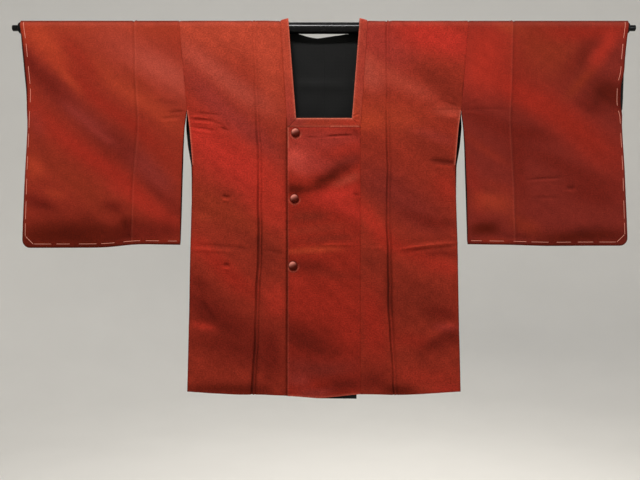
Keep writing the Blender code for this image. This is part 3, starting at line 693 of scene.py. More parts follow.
def plain_lining(name, thread=0.0012):
    """Black silk: two crossed waves are its weave, and a low cloud keeps it from looking flat."""
    made, tree = new_material(name, 0.6, Specular_IOR_Level=0.12)
    cut = add_node(tree, "ShaderNodeUVMap", {"uv_map": "cut"}).outputs[0]
    wave_of = {"Scale": 1.0 / (thread * 20), "Distortion": 0.6, "Detail": 1.0}
    threads = [add_node(tree, "ShaderNodeTexWave", wave_of,
                        Vector=mapped(tree, cut, Rotation=(0, 0, radians(turn)))).outputs["Fac"]
               for turn in (0, 90)]
    tinted(tree, noise(tree, cut, 14.0, 3.0), "0E0F0F", "151616")
    bumped(tree, maths(tree, "MULTIPLY", *threads), 0.3)
    return made


LINING = plain_lining("black_silk_lining")
print("lining nodes:", len(LINING.node_tree.nodes))

# %% [markdown]
# ## A shell of cloth
# Every piece of cloth starts as one grid of points on the flat cut, placed in space by a function.
# Solidify gives it the thickness of silk with its folded edge, and a small Bevel rounds that edge.
# The grid is finer near folds and edges, where the light changes fastest.

# %% Build a shell from a grid
SILK_THICK = 0.8
LINING_THICK = 0.5
EDGE_BEVEL = 0.25


def spread(keys, splits):
    """Points across a piece: each gap between neighbouring keys is divided into its parts."""
    keys = [np.asarray(key, float) for key in keys]
    places = [keys[0]]
    for low, high, parts in zip(keys, keys[1:], splits):
        places += [low + (high - low) * step / parts for step in range(1, parts + 1)]
    return np.stack(places, axis=-1)


def rows_of(runs, shape):
    """The run of every point of a grid, from the run of each of its rows."""
    return np.broadcast_to(runs[:, None], shape).copy()


def quads_of(rows, columns):
    """Faces of a grid, its columns running along +X and its rows upwards at the front."""
    return [(row * columns + column, row * columns + column + 1,
             (row + 1) * columns + column + 1, (row + 1) * columns + column)
            for row in range(rows - 1) for column in range(columns - 1)]


def quads_round(rings, sides):
    """Faces between closed rings of points."""
    return [(ring * sides + step, ring * sides + (step + 1) % sides,
             (ring + 1) * sides + (step + 1) % sides, (ring + 1) * sides + step)
            for ring in range(rings - 1) for step in range(sides)]


def new_mesh(name, points, faces, cut=None, colours=None, grain=None):
    """A mesh from points in metres. cut is their places on the flat cloth, in millimetres."""
    mesh = bpy.data.meshes.new(name)
    mesh.from_pydata(points.reshape(-1, 3).tolist(), [], faces)
    mesh.shade_smooth()
    if colours is not None:
        # The colour attribute holds the dyes together with painted shade and painted highlights.
        flat = np.ones((len(mesh.vertices), 4), np.float32)
        flat[:, :3] = colours.reshape(-1, 3)
        mesh.color_attributes.new("dye_and_painted_light", "FLOAT_COLOR", "POINT").data.foreach_set("color", flat.ravel())
    if grain is not None:
        clear = mesh.attributes.new("grain", "FLOAT", "POINT").data
        clear.foreach_set("value", np.full(len(mesh.vertices), grain, np.float32))
    if cut is not None:
        corner = np.zeros(len(mesh.loops), np.int32)
        mesh.loops.foreach_get("vertex_index", corner)
        places = (cut.reshape(-1, 2)[corner] * MM).astype(np.float32)
        mesh.uv_layers.new(name="cut").data.foreach_set("uv", places.ravel())
    return mesh


def finish_piece(piece, node):
    """Hand a piece to the frame: attach it to what it rides on, and hide the node it stands for."""
    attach(piece, "root")
    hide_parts(node)
    print(piece.name, "has", len(piece.data.polygons), "faces on its outer side")
    return piece


def cloth(node, x, run, points, colours=None, faces=None, flip=False, cut=None, flat=None, area=None,
          thick=SILK_THICK, inside=(), bevel=EDGE_BEVEL, grain=0.8):
    """A sheet from its grid: x and run on the flat cut, and its points in metres. Without colours it
    is lining. flip turns the faces over, and inside is a second material for the inner face."""
    black = colours is None
    faces = faces or quads_of(*x.shape)
    if flip:
        faces = [face[::-1] for face in faces]
    if cut is None:
        cut = np.stack([x, run], axis=-1)
    if flat is None:
        flat, area = cut_size(x, run)
    mesh = new_mesh(node + "_cloth", points, faces, cut, colours, None if black else grain)
    for made in (LINING if black else SILK, *inside):
        mesh.materials.append(made)
    piece = add_object(mesh.name, mesh)
    wall = piece.modifiers.new("thickness", "SOLIDIFY")
    wall.thickness = (LINING_THICK if black else thick) * MM
    wall.offset = -1.0
    wall.material_offset = len(inside)
    edge = piece.modifiers.new("soft edge", "BEVEL")
    edge.width = bevel * MM
    edge.segments = 2
    edge.limit_method = "ANGLE"
    edge.angle_limit = radians(60)
    finish_piece(piece, node)


def cut_size(x, run):
    """Width and length in metres of a piece laid flat, and its area, from its grid on the cut."""
    width = (x.max(axis=1) - x.min(axis=1)) * MM
    length = run[:, 0] * MM
    area = float(abs(np.sum((width[1:] + width[:-1]) / 2 * np.diff(length))))
    return (float(x.max() - x.min()) * MM, float(abs(length[-1] - length[0]))), area


print("silk is", SILK_THICK, "mm at its folded edges")

# %% [markdown]
# ## Front and back of each side
# Each side of the body is one strip that runs from the front hem over the rod to the back hem, with
# the neck cut out of it. Rows of points are closer where it bends over the rod, at the neck's
# curve and at the cross fold. The last columns dip a little, because a seam pulls the cloth in.

# %% Cut the body


def fine_falls(top, bottom, step=4.5, close=((455.0, 492.0, 1.8),)):
    """Falls from top to bottom, closer together within each given stretch."""
    falls, fall = [top], top
    while fall < bottom - 0.01:
        inside = [gap for low, high, gap in close if low <= fall < high]
        fall = min(bottom, fall + (inside[0] if inside else step))
        falls.append(fall)
    return np.array(falls)


EDGE_STRIP, BODY_STRIP, FOLD_CLEAR = 4, 12, 20
INNER_DIP = (0.6, 0.15)  # at the front seam, at the centre back
FRONT_FALLS = fine_falls(0.0, HEM, close=(
    (100.0, 160.0, 3.0), (160.0, 236.0, 1.4), (284.0, 300.0, 2.0), (358.0, 378.0, 1.6),
    (460.0, 488.0, 1.5), (503.0, 522.0, 1.6)))
BACK_FALLS = fine_falls(66.0, HEM, step=6.0)
CROWN_RUNS = np.linspace(-QUARTER, QUARTER, 15)[1:-1]
NECK_RUNS = NECK_BACK_RUN * np.sin(np.radians(np.arange(0, 91, 5))) ** 0.8
NECK_RUNS = NECK_RUNS[NECK_RUNS > QUARTER]
BODY_RUNS = np.concatenate([
    -(QUARTER + FRONT_FALLS[::-1]), CROWN_RUNS, [QUARTER], NECK_RUNS, QUARTER + BACK_FALLS])


def neck_front(run, crown_half, foot_half, foot_fall):
    """Half width of a neck line at the front, straight from the crown to its foot."""
    return crown_half + (foot_half - crown_half) * np.clip(-run / (QUARTER + foot_fall), 0, 1)


def neck_back(share, crown_half):
    """Half width of a neck line at the back, at a share of its depth."""
    return crown_half * (1.0 - np.clip(share, 0, 1) ** NECK_CURVE) ** (1.0 / NECK_CURVE)


def body_inner(run, front_seam, rise=0.0):
    """Half width where a body panel begins: neck, centre-back seam or front seam."""
    fall = fall_of(run)
    front = np.where(fall > SEAM_START, front_seam,
                     neck_front(run, NECK_HALF - rise, NECK_FOOT_HALF - rise, NECK_FOOT))
    back = neck_back(run / (NECK_BACK_RUN - rise), NECK_HALF - rise)
    return np.where(run < 0, front, back) + SEAM


def seam_dip(distance, depth=0.9, reach=1.6):
    """How far cloth dips at a distance from a seam."""
    return -depth * np.exp(-(distance / reach) ** 2)


def body_grid(side, front_seam, margin=SEAM, runs=BODY_RUNS, rise=0.0):
    """x and run of every point of a body panel, with its distance from its inner and outer edge."""
    fall = fall_of(runs)
    inner = body_inner(runs, front_seam, rise)
    outer = np.where(runs < 0, soft(SIDES, fall, BODY_FRONT), soft(SIDES, fall, BODY_BACK)) - margin
    fold = np.abs(soft(BODY_FOLD["line"], fall, COLUMN[side], blur=30.0))
    fold = np.clip(fold, inner + FOLD_CLEAR, outer - FOLD_CLEAR)
    half = spread([inner, inner + EDGE_STRIP, fold - BODY_STRIP, fold + BODY_STRIP,
                   outer - EDGE_STRIP, outer], (4, 12, 30, 44, 4))
    x = side * half
    run = rows_of(runs, x.shape)
    from_inner = half - inner[:, None]
    from_outer = outer[:, None] - half
    if side < 0:
        x, from_inner, from_outer = (part[:, ::-1] for part in (x, from_inner, from_outer))
    return x, run, from_inner, from_outer


def body_panel(node, side, front_seam):
    x, run, from_inner, from_outer = body_grid(side, front_seam)
    fall = fall_of(run)
    in_slit = (fall > ARM_SLIT_TOP) & (fall < GUSSET_TOP)
    sewn = (fall < ARM_SLIT_TOP) | (fall > GUSSET_TOP)
    out = body_relief(x, run) + seam_dip(from_inner, np.where(run < 0, *INNER_DIP))
    out = out + np.where(sewn, seam_dip(from_outer), 0.0)
    colours = dyed_and_hem_shaded(node, x, run, hidden_strokes(BODY_SEED + side, min(x[0]), max(x[0]), HEM))
    # Painted highlight along the arm slits' edges and just below the crown; painted shade along the
    # sides below the gussets, along the hem and over the top of the crown; a painted shadow beside the
    # overlap's free edge.
    colours = edged(
        crease_shade_and_highlight(colours, body_creases(x, run)),
        (from_outer, "painted_highlight", 0.6 * in_slit, EDGE_REACH),
        (from_outer, "deep", 0.55 * (fall > GUSSET_TOP), EDGE_REACH),
        (HEM - fall, "deep", 0.4, EDGE_REACH),
        (run + CROWN_HIGHLIGHT, "painted_highlight", 0.1, 6.0),
        (run + CROWN_SHADE, "deep", 0.75, 6.0),
        (x - LAP_EDGE + 1.6, "deep", 0.8 * (run < 0) * (fall > OPENING_FOOT), 1.9))
    cloth(node, x, run, hang(x, run, out), colours)


body_panel("body_right", -1, -UNDER_SEAM)
body_panel("body_left", 1, OVER_SEAM)

# %% [markdown]
# ## Underlap and overlap
# The overlap lies on the underlap, one cloth's thickness out, and comes down to the body's level at
# its seam, where a narrow turning goes under the body's edge, so no light shows through. Its free
# edge is a fold, so it stands up a little and casts a line of shadow, which is deepened by a painted
# shadow on the body beside it.

# %% Lay the overlap on the underlap
TUCK, TUCK_DEPTH = 1.2, 1.7
FREE_EDGE_LIFT, FREE_EDGE_REACH = 0.8, 3.0
# The fall down to which the free edge's painted highlight is stronger, and the radii of the painted
# shadow and the painted highlight round a button.
LAP_HIGHLIGHT_FALL = 260.0
SHADOW_RING, HIGHLIGHT_RING = 8.4, 12.2
LAP_RUNS = -(QUARTER + fine_falls(
    NECK_FOOT + 0.2, HEM, close=(
        (217.0, 243.0, 1.3), (355.0, 382.0, 1.3), (455.0, 497.0, 1.8), (497.0, 524.0, 1.3)))[::-1])


def lap_grid(edges, splits):
    """x and run of a panel of the lap, between upright lines."""
    x = spread([np.full_like(LAP_RUNS, edge) for edge in edges], splits)
    return x, rows_of(LAP_RUNS, x.shape)


def lap_panel(node, edges, splits, lift_at, hem):
    x, run = lap_grid(edges, splits)
    fall = -run - QUARTER
    out = lift_at(x) + body_relief(x, run) + seam_dip(fall - NECK_FOOT, 0.7)
    # Painted highlight along the free edge, stronger higher up, and along the hem.
    colours = edged(
        crease_shade_and_highlight(dyed_and_hem_shaded("overlap", x, run), body_creases(x, run)),
        (x - edges[0], "painted_highlight", 0.12 + 0.45 * (fall < LAP_HIGHLIGHT_FALL), EDGE_REACH),
        (HEM - fall, "painted_highlight", 0.3, EDGE_REACH))
    # Round each button, a ring of painted shadow on the cloth, and below it a painted highlight.
    for _, button_x, button_fall in BUTTONS:
        reach = np.hypot(x - button_x - 0.4, fall - button_fall - 0.6)
        below = ramp(fall - button_fall, -4.0, 6.0)
        colours = edged(colours, (reach - SHADOW_RING, "deep", 0.95, 1.3),
                        (reach - HIGHLIGHT_RING, "painted_highlight", 0.35 * below, 1.2))
    cloth(node, x, run, hang(x, run, out, hem), colours)


def over_lift(x):
    """Height of the overlap: lifted by the cloth below, with its free edge a little proud."""
    down = ramp(x, LAP_RAMP - 4, OVER_SEAM - 0.5)
    step = LAP * (1 - smooth(down))
    tucked = TUCK_DEPTH * ramp(x, OVER_SEAM - 0.3, OVER_SEAM + TUCK)
    proud = FREE_EDGE_LIFT * np.exp(-((x - LAP_EDGE) / FREE_EDGE_REACH) ** 2)
    return step + proud + seam_dip(OVER_SEAM - x) - tucked


def under_lift(x):
    return seam_dip(x - UNDER_SEAM)


lap_panel("overlap", (LAP_EDGE, LAP_EDGE + 4, -46.0, 66.0, OVER_SEAM - SEAM, OVER_SEAM + TUCK),
          (5, 22, 32, 8, 2), over_lift, HEM_LINE)
lap_panel("underlap", (UNDER_SEAM + SEAM, -68.0, UNDER_EDGE), (4, 30), under_lift,
          [(x, fall - UNDER_SHORT) for x, fall in HEM_LINE])

# %% [markdown]
# ## The collar band
# The koeri is a narrow band, folded over a stiff core, that frames the neck. One piece goes up one
# side of the square, round the back and down the other. It stands up where it crosses the rod. Its
# inner face at the neck is black lining, which also stands for the shade under the rod. Another
# stretch closes the square across the overlap.

# %% Fold the collar
COLLAR_OUT = 0.9
COLLAR_THICK = 2.0
COLLAR_CROSS = 12
BAND_WIDTH, BAND_EDGE, MITRE_DIP = 19.0, 17.0, (0.8, 1.2)
BAND_FULL, BAND_LEAN, BAND_TIGHT, BAND_SEAM = 0.7, 0.8, 0.3, 0.07


def collar_peak(run, share):
    """How far the collar stands up where it crosses the rod: most at its free edge."""
    near = 1.0 - np.clip(np.abs(run) / PEAK_REACH, 0, 1)
    return COLLAR_PEAK * share * smooth(near)


def band_round(share):
    """The soft roll of a folded band: fullest near its free edge, tight at its seam."""
    tight = BAND_TIGHT * np.exp(-(share / BAND_SEAM) ** 2)
    return BAND_FULL * np.sin(pi * share ** BAND_LEAN) - tight


def collar_half():
    """Pairs of (x, run), seam edge then free edge, from the front foot to the centre back."""
    falls = fine_falls(0.0, NECK_FOOT, 4.0, ((176.0, NECK_FOOT, 1.1),))
    front = np.concatenate([-(QUARTER + falls[::-1]), CROWN_RUNS[:len(CROWN_RUNS) // 2 + 1]])
    share = -front / (QUARTER + NECK_FOOT)
    free = -share * (QUARTER + OPENING_FOOT)
    seam_side = np.stack([neck_front(front, NECK_HALF, NECK_FOOT_HALF, NECK_FOOT), front], -1)
    free_side = np.stack([neck_front(free, OPENING_HALF, OPENING_FOOT_HALF, OPENING_FOOT), free], -1)
    share = np.sin(np.radians(np.arange(3, 91, 3))) ** 0.8
    seam_side = np.concatenate([seam_side, np.stack(
        [neck_back(share, NECK_HALF), share * (NECK_BACK_RUN - 0.3)], -1)])
    free_side = np.concatenate([free_side, np.stack(
        [neck_back(share, OPENING_HALF), share * OPENING_BACK_RUN], -1)])
    return seam_side, free_side


def collar_round_neck():
    seam_side, free_side = collar_half()
    flip = np.array([-1.0, 1.0])
    seam_side = np.concatenate([seam_side * flip, seam_side[-2::-1]])
    free_side = np.concatenate([free_side * flip, free_side[-2::-1]])
    share = np.linspace(0, 1, COLLAR_CROSS + 1)[None, :]
    x = seam_side[:, :1] + share * (free_side[:, :1] - seam_side[:, :1])
    run = seam_side[:, 1:] + share * (free_side[:, 1:] - seam_side[:, 1:])
    out = COLLAR_OUT + collar_peak(run, share) + band_round(share) + body_relief(x, run)
    length = np.concatenate([[0], np.cumsum(np.hypot(*np.diff(free_side, axis=0).T))])
    cut = np.stack([np.broadcast_to(share * BAND_WIDTH, x.shape),
                    np.broadcast_to(length[:, None], x.shape)], axis=-1)
    # Painted highlight along the band's free edge.
    colours = edged(crease_shade_and_highlight(dyed_and_hem_shaded("collar", x, run), body_creases(x, run)),
                    (BAND_EDGE * (1 - share), "painted_highlight", 0.5, EDGE_REACH))
    # The band's inner face takes the black lining, which also stands for the shade under the rod.
    cloth("collar_neck", x, run, hang(x, run, out), colours, cut=cut,
          flat=(BAND_WIDTH * MM, float(length[-1]) * MM),
          thick=COLLAR_THICK, inside=[LINING], bevel=0.8)


def collar_across(node, left, right, out_level, lap, core):
    """A mitred stretch of the band across the front; left and right are (foot x, top x)."""
    share = np.linspace(0, 1, COLLAR_CROSS + 1)[:, None]
    start, end = (foot + share * (top - foot) for foot, top in (left, right))
    x = start + np.linspace(0, 1, 46)[None, :] * (end - start)
    fall = NECK_FOOT - share * (NECK_FOOT - OPENING_FOOT)
    run = -(QUARTER + np.broadcast_to(fall, x.shape))
    mitre = seam_dip(x - start, *MITRE_DIP) + seam_dip(end - x, *MITRE_DIP)
    out = out_level + over_lift(x) * lap + band_round(share) + mitre + body_relief(x, run)
    # Painted highlight along both edges of the band, and painted shade in the mitre seam at its left
    # end.
    colours = edged(
        crease_shade_and_highlight(dyed_and_hem_shaded("collar", x, run), body_creases(x, run)),
        (BAND_EDGE * (1 - share), "painted_highlight", 0.9, EDGE_REACH),
        (BAND_EDGE * share, "painted_highlight", 0.25 + 0.5 * (x > 15), EDGE_REACH),
        (x - start, "deep", 0.7, 2.4))
    cloth(node, x, run, hang(x, run, out), colours,
          thick=core, bevel=min(0.5, core * 0.4))


collar_round_neck()
collar_across("collar_overlap", (LAP_EDGE, -OPENING_FOOT_HALF + 0.2),
              (OVER_SEAM - 0.2, OPENING_FOOT_HALF - 0.2), out_level=0.3, lap=1.0, core=1.2)
collar_across("collar_underlap", (UNDER_SEAM, -OPENING_FOOT_HALF + 0.6),
              (UNDER_EDGE, OPENING_FOOT_HALF - 8.0), out_level=-0.6, lap=0.0, core=0.5)

# %% [markdown]
# ## Sleeves
# A sleeve is one strip folded over the shoulder, sewn along its foot and up under the cuff. The cuff
# is open above that, and the inner edge is open below the armhole. The tube lies almost flat. Its
# closed edges round off, as a fold in silk does.

# %% Sew the sleeves
LINING_FOOT, LINING_INSET = 446.0, 1.6
LINING_CLEAR, LINING_CLEAR_START, LINING_CLEAR_END = 0.4, 176.0, 214.0
SLEEVE_GRAIN = 0.55
SLEEVE_STRIP, CUFF_STRIP = 10, 14
QUIET_EDGE, QUIET_SHARE = 20.0, 0.6
SLEEVE_FALLS = np.concatenate([
    fine_falls(0.0, 452.0, close=((172.0, 206.0, 1.9), (320.0, 370.0, 2.4))),
    [454.5, 456.5, 458.5, 460, 461.5, 462.8, 463.8, 464.5, 465.0]])


def sleeve_depth(fall, from_edge):
    """Half depth of a sleeve: it narrows downwards and rounds off at its closed edges."""
    from_foot = np.clip((SLEEVE_FOOT - fall) / FOOT_ROUND, 0, 1)
    near_edge = np.clip(from_edge / EDGE_ROUND, 0, 1)
    closed = smooth(ramp(fall, CUFF_CLOSE_START, CUFF_CLOSED))
    edge = 1.0 - closed * (1.0 - np.sqrt(1.0 - (1.0 - near_edge) ** 2))
    foot = np.sqrt(1.0 - (1.0 - from_foot) ** 2)
    return np.maximum(CLOSED_HALF, soft(SLEEVE_DEPTH, fall, blur=20.0) * edge * foot)


def cuff_edge(side, fall, front_silk=False):
    """Half width of a sleeve's outer edge, with the rounded corner at its foot."""
    below = np.maximum(0.0, fall - (SLEEVE_FOOT - CORNER))
    corner = CORNER - np.sqrt(np.maximum(0.0, CORNER ** 2 - below ** 2))
    middle, reach, far = CUFF_DRAWN[side]
    drawn = np.where(front_silk, far * np.exp(-((fall - middle) / reach) ** 4), 0.0)
    edge = soft(CUFF, fall, COLUMN[side], blur=24.0) + soft(CUFF_PROUD, fall, COLUMN[side], blur=24.0)
    return edge - corner - drawn


def sleeve_point(side, half, run, inset):
    """Points of a sleeve in metres. half is the distance across from the middle of the coat. The
    creases fade out near the closed edges."""
    half, run, inset = np.broadcast_arrays(*(np.asarray(part, float) for part in (half, run, inset)))
    fall = fall_of(run)
    x = side * half
    relief = sleeve_relief(side, x, run)
    from_edge = cuff_edge(side, np.maximum(fall, -QUARTER)) - half
    room = np.clip(from_edge / QUIET_EDGE, 0, 1) * np.clip((SLEEVE_FOOT - fall) / QUIET_EDGE, 0, 1)
    loose = 1 - ramp(fall, CUFF_CLOSE_START, CUFF_CLOSED)
    relief = relief * np.maximum(room, loose * QUIET_SHARE)
    foot = soft(SLEEVE_FOOT_LINE, half, COLUMN[side], blur=22.0)
    drop = fall + (foot - SLEEVE_FOOT) * ramp(fall, SLEEVE_FOOT_RAMP, SLEEVE_FOOT)
    depth = sleeve_depth(np.maximum(fall, 0), from_edge) - inset + relief
    angle = run / CROWN
    over = fall <= 0
    reach = CROWN - inset + relief
    y = np.where(over, np.sin(angle) * reach, np.where(run > 0, depth, -depth))
    z = np.where(over, np.cos(angle) * reach, -drop)
    return np.stack([x, y, z], axis=-1) * MM


def lining_edge(fall):
    """The lining reaches the open cuff, and stays clear of the closed edge below it."""
    return LINING_CLEAR + ramp(fall, LINING_CLEAR_START, LINING_CLEAR_END) * (EDGE_ROUND + 1.0)


def sleeve_grid(side, falls, silk):
    runs = np.concatenate([-(QUARTER + falls[::-1]), CROWN_RUNS, QUARTER + falls])
    fall = fall_of(runs)
    inner = np.where(runs < 0, soft(SIDES, fall, SLEEVE_FRONT), soft(SIDES, fall, SLEEVE_BACK)) + SEAM
    outer = cuff_edge(side, fall, silk & (runs < 0)) - (0.0 if silk else lining_edge(fall))
    fold = soft(SLEEVE_FOLD, fall, COLUMN[side], blur=20.0)
    half = spread([inner, inner + EDGE_STRIP, fold - SLEEVE_STRIP, fold + SLEEVE_STRIP,
                   outer - CUFF_STRIP, outer - EDGE_STRIP, outer], (4, 16, 14, 34, 6, 6))
    return half, rows_of(runs, half.shape), half - inner[:, None]


def sleeve_colours(node, side, half, run, from_inner):
    """The colour of a sleeve: its dyes, with a painted highlight on its fold's crest and below the
    crown, and painted shade along its cuff, foot and inner edge and over the top of the crown. Past its
    fold the one at the wearer's left is painted a little darker, as shade on the turned cloth.
    """
    x, fall = side * half, fall_of(run)
    hidden = hidden_strokes(SLEEVE_SEED + side, min(x[0]), max(x[0]), SLEEVE_FOOT)
    past_fold = half - soft(SLEEVE_FOLD, fall, COLUMN[side], blur=20.0)
    # Painted highlight on the fold's crest and below the crown; painted shade along the cuff, the foot,
    # the inner edge, over the crown's top, and past the fold at the wearer's left.
    return edged(
        crease_shade_and_highlight(dyed_and_hem_shaded(node, x, run, hidden), sleeve_creases(side, x, run)),
        (past_fold, "painted_highlight", 0.05, 1.6),
        (past_fold, "dark", 0.22 * (side > 0) * (past_fold > 0.0) * (run < 0), 34.0),
        (cuff_edge(side, fall, run < 0) - half, "deep", 0.5 + 0.45 * (fall > 14), 3.0),
        (SLEEVE_FOOT - fall, "deep", 0.9, 3.6),
        (from_inner, "deep", 0.4 * (fall > ARM_SLIT_TOP), EDGE_REACH),
        (run + CROWN_HIGHLIGHT, "painted_highlight", 0.1, 6.0),
        (run + CROWN_SHADE, "deep", 0.9, 6.5))


def sleeve_shell(node, side, falls, inset, silk):
    """A sleeve's tube. Its foot is joined, and on the silk one its cuff side too, below the cuff."""
    half, run, from_inner = sleeve_grid(side, falls, silk)
    dip = np.where(fall_of(run) < ARM_SLIT_TOP, seam_dip(from_inner), 0.0)
    rows, columns = half.shape
    last = (rows - 1) * columns
    faces = quads_of(rows, columns)
    faces += [(last + column, last + column + 1, column + 1, column) for column in range(columns - 1)]
    for rung in range(int(np.sum(falls >= CUFF_FOOT)) - 1 if silk else 0):
        front = (rung + 1) * columns - 1
        back = (rows - rung) * columns - 1
        faces.append((front, back, back - columns, front + columns))
    colours = sleeve_colours(node, side, half, run, from_inner) if silk else None
    cloth(node, side * half, run, sleeve_point(side, half, run, inset - dip), colours, faces,
          flip=side < 0, grain=SLEEVE_GRAIN)


for side, word in HANDS:
    sleeve_shell(f"sleeve_{word}", side, SLEEVE_FALLS, inset=0.0, silk=True)
    sleeve_shell(f"lining_sleeve_{word}", side, SLEEVE_FALLS[SLEEVE_FALLS <= LINING_FOOT],
                 inset=LINING_INSET, silk=False)

# %% [markdown]
# ## Lining of the body
# The black lining hangs just inside the silk. It covers the back and wraps over the shoulders, where
# it shows in the neck and in the arm slits. The underlap has its own, which hangs below the hem: a
# black edge that is real lining and also stands for the shade under the overlap's corner.

# %% Hang the lining
LINING_OUT = -1.6
LINING_RISE = 1.8
LINING_MARGIN, LINING_BEVEL = 0.5, 0.06
LAPPED, LAPPED_OUT, LAPPED_REACH = 1.0, 0.6, 1.6
LINING_RUNS = np.concatenate([
    -(QUARTER + fine_falls(0.0, 60.0, 8.0, ())[::-1]), CROWN_RUNS, [QUARTER], NECK_RUNS,
    QUARTER + fine_falls(66.0, HEM, 8.0, ((455.0, 492.0, 3.0),))])


def body_lining(node, side):
    """Half of the lining. At the centre back the left half laps over the right one."""
    x, run, from_inner, _ = body_grid(side, OVER_SEAM, LINING_MARGIN, LINING_RUNS, LINING_RISE)
    lapped = np.exp(-(from_inner / LAPPED_REACH) ** 2) * (run > NECK_BACK_RUN - LINING_RISE) * (side > 0)
    x = x - LAPPED * lapped
    points = hang(x, run, LINING_OUT + LAPPED_OUT * lapped + body_relief(x, run))
    cloth(node, x, run, points, bevel=LINING_BEVEL)


def underlap_lining():
    # Its black edge below the hem also stands for the shade under the overlap's corner.
    x, run = lap_grid((UNDER_SEAM + SEAM, UNDER_EDGE - 0.8), (24,))
    points = hang(x, run, LINING_OUT + body_relief(x, run), LINING_HEM_LINE)
    cloth("lining_underlap", x, run, points)


for side, word in HANDS:
    body_lining(f"lining_{word}", side)
underlap_lining()

# %% [markdown]
# ## Gussets
# A tapered strip, the machi, joins front and back below each arm slit. On a coat that hangs flat it
# folds inwards, deeper towards the hem.

# %% Fold the gussets
GUSSET_OUT = -1.4
GUSSET_WIDTH, GUSSET_MEAN = 0.066, 0.048
GUSSET_MIDDLE, GUSSET_DRAWN = 300, 60
GUSSET_ROUND, GUSSET_RIPPLE = 1.25, 1.2


def gusset(node, side):
    """A strip between the front seam and the back seam, its middle drawn inwards."""
    fall = fine_falls(GUSSET_TOP, HEM, 6.0, ())[::-1][:, None]
    share = np.linspace(0, 1, 17)[None, :]
    seams = []
    for face, column in ((-1, BODY_FRONT), (1, BODY_BACK)):
        x = side * (soft(SIDES, fall, column) - GUSSET_INSET)
        run = face * (QUARTER + fall)
        seams.append(hang(x, run, GUSSET_OUT + body_relief(x, run)))
    fold = GUSSET_FOLD_TOP + (GUSSET_FOLD_HEM - GUSSET_FOLD_TOP) * ramp(fall, GUSSET_TOP, HEM)
    inwards = fold * (1 - np.abs(2 * share - 1) ** GUSSET_ROUND)
    inwards = inwards + GUSSET_RIPPLE * np.sin(fall / 37 + 3 * share) * np.sin(pi * share)
    points = seams[0] * (1 - share[..., None]) + seams[1] * share[..., None]
    points[..., 0] -= side * inwards * MM
    x = side * (GUSSET_MIDDLE - inwards)
    run = np.broadcast_to(fall, x.shape) + 0.0
    colours = brush(ground("rust", x.shape), x, run,
                    hidden_strokes(GUSSET_SEED + side, min(x[0]), max(x[0]), HEM))
    length = float(HEM - GUSSET_TOP) * MM
    cloth(node, x, run, points, colours, flip=side < 0,
          cut=np.stack([share * GUSSET_DRAWN + 0 * run, run], axis=-1),
          flat=(GUSSET_WIDTH, length), area=GUSSET_MEAN * length)


for side, word in HANDS:
    gusset(f"gusset_{word}", side)

# %% [markdown]
# ## Covered buttons
# Kurumi buttons are domes covered in the coat's silk. The cloth is drawn over the edge and gathered
# behind, so it puckers finely round the rim, and the button stands on a short shank.

# %% Turn the buttons
BUTTON_PROFILE = [  # height above the overlap, radius
    (0.3, 2.4), (1.3, 2.5), (1.5, 4.6), (1.5, 6.4), (1.7, 7.7), (2.2, 8.5), (2.9, 8.8), (3.6, 8.7),
    (4.3, 8.3), (5.1, 7.5), (5.8, 6.3), (6.4, 4.8), (6.85, 3.0), (7.1, 1.3)]
BUTTON_SIDES, BUTTON_TOP, BUTTON_FOOT = 56, 7.15, 0.3
PUCKERS, PUCKER_DEPTH, PUCKER_AT, PUCKER_REACH = 24, 0.13, 1.9, 1.6
# How the painted highlight falls on a button, and where its painted shade round the rim begins.
PALE_BASE, PALE_UP, PALE_SIDE, PALE_FADE = 0.44, 0.75 / 9.0, 0.35 / 9.0, 2.2
RIM_RADIUS, RIM_SOFT, RIM_HEIGHT = 8.7, 1.3, 2.5


def button(node, x, fall):
    """A dome on its shank. Its colour is painted: a painted highlight on the upper side that faces the
    wearer's right, and painted shade below and round its rim.
    """
    run = -(QUARTER + fall)
    seat = hang(x, run, LAP + body_relief(np.array(x), np.array(run)))
    points, colours, cut = [], [], []
    for height, radius in BUTTON_PROFILE:
        gather = PUCKER_DEPTH * max(0.0, 1 - abs(height - PUCKER_AT) / PUCKER_REACH)
        for step in range(BUTTON_SIDES):
            angle = 2 * pi * step / BUTTON_SIDES
            reach = radius + gather * sin(PUCKERS * angle)
            u, v = reach * cos(angle), reach * sin(angle)
            points.append((u, -height, v))
            # Painted highlight from above and the wearer's right, painted shade below and at the rim.
            lit = np.clip(PALE_BASE + PALE_UP * v - PALE_SIDE * u, 0, 1) ** PALE_FADE
            rim = np.clip((RIM_RADIUS - radius) / RIM_SOFT, 0, 1) * (height > RIM_HEIGHT)
            colours.append(DYES_AND_PAINTED_LIGHT["deep"] + (DYES_AND_PAINTED_LIGHT["button"] - DYES_AND_PAINTED_LIGHT["deep"]) * lit * rim)
            cut.append((u, v))
    top = len(points)
    points += [(0, -BUTTON_TOP, 0), (0, -BUTTON_FOOT, 0)]
    colours += [colours[-1], colours[0]]
    cut += [(0, 0), (0, 0)]
    faces = [face[::-1] for face in quads_round(len(BUTTON_PROFILE), BUTTON_SIDES)]
    for step in range(BUTTON_SIDES):
        after = (step + 1) % BUTTON_SIDES
        faces.append((top - BUTTON_SIDES + after, top - BUTTON_SIDES + step, top))
        faces.append((step, after, top + 1))
    mesh = new_mesh(node + "_covered", seat + np.array(points) * MM, faces, np.array(cut),
                    np.array(colours))
    mesh.materials.append(SILK)
    finish_piece(add_object(mesh.name, mesh), node)


for row in BUTTONS:
    button(*row)

# %% [markdown]
# ## Basting stitches
# Shitsuke are the tailor's long white stitches that keep a new sleeve's edges flat. They run about
# eight millimetres inside the edge, down the cuff, across the corner and along the foot. A path is
# laid on the silk, and Geometry Nodes cut it into stitches: points past the length of a stitch
# are deleted, what is left becomes a thread, and its ends dive into the cloth.

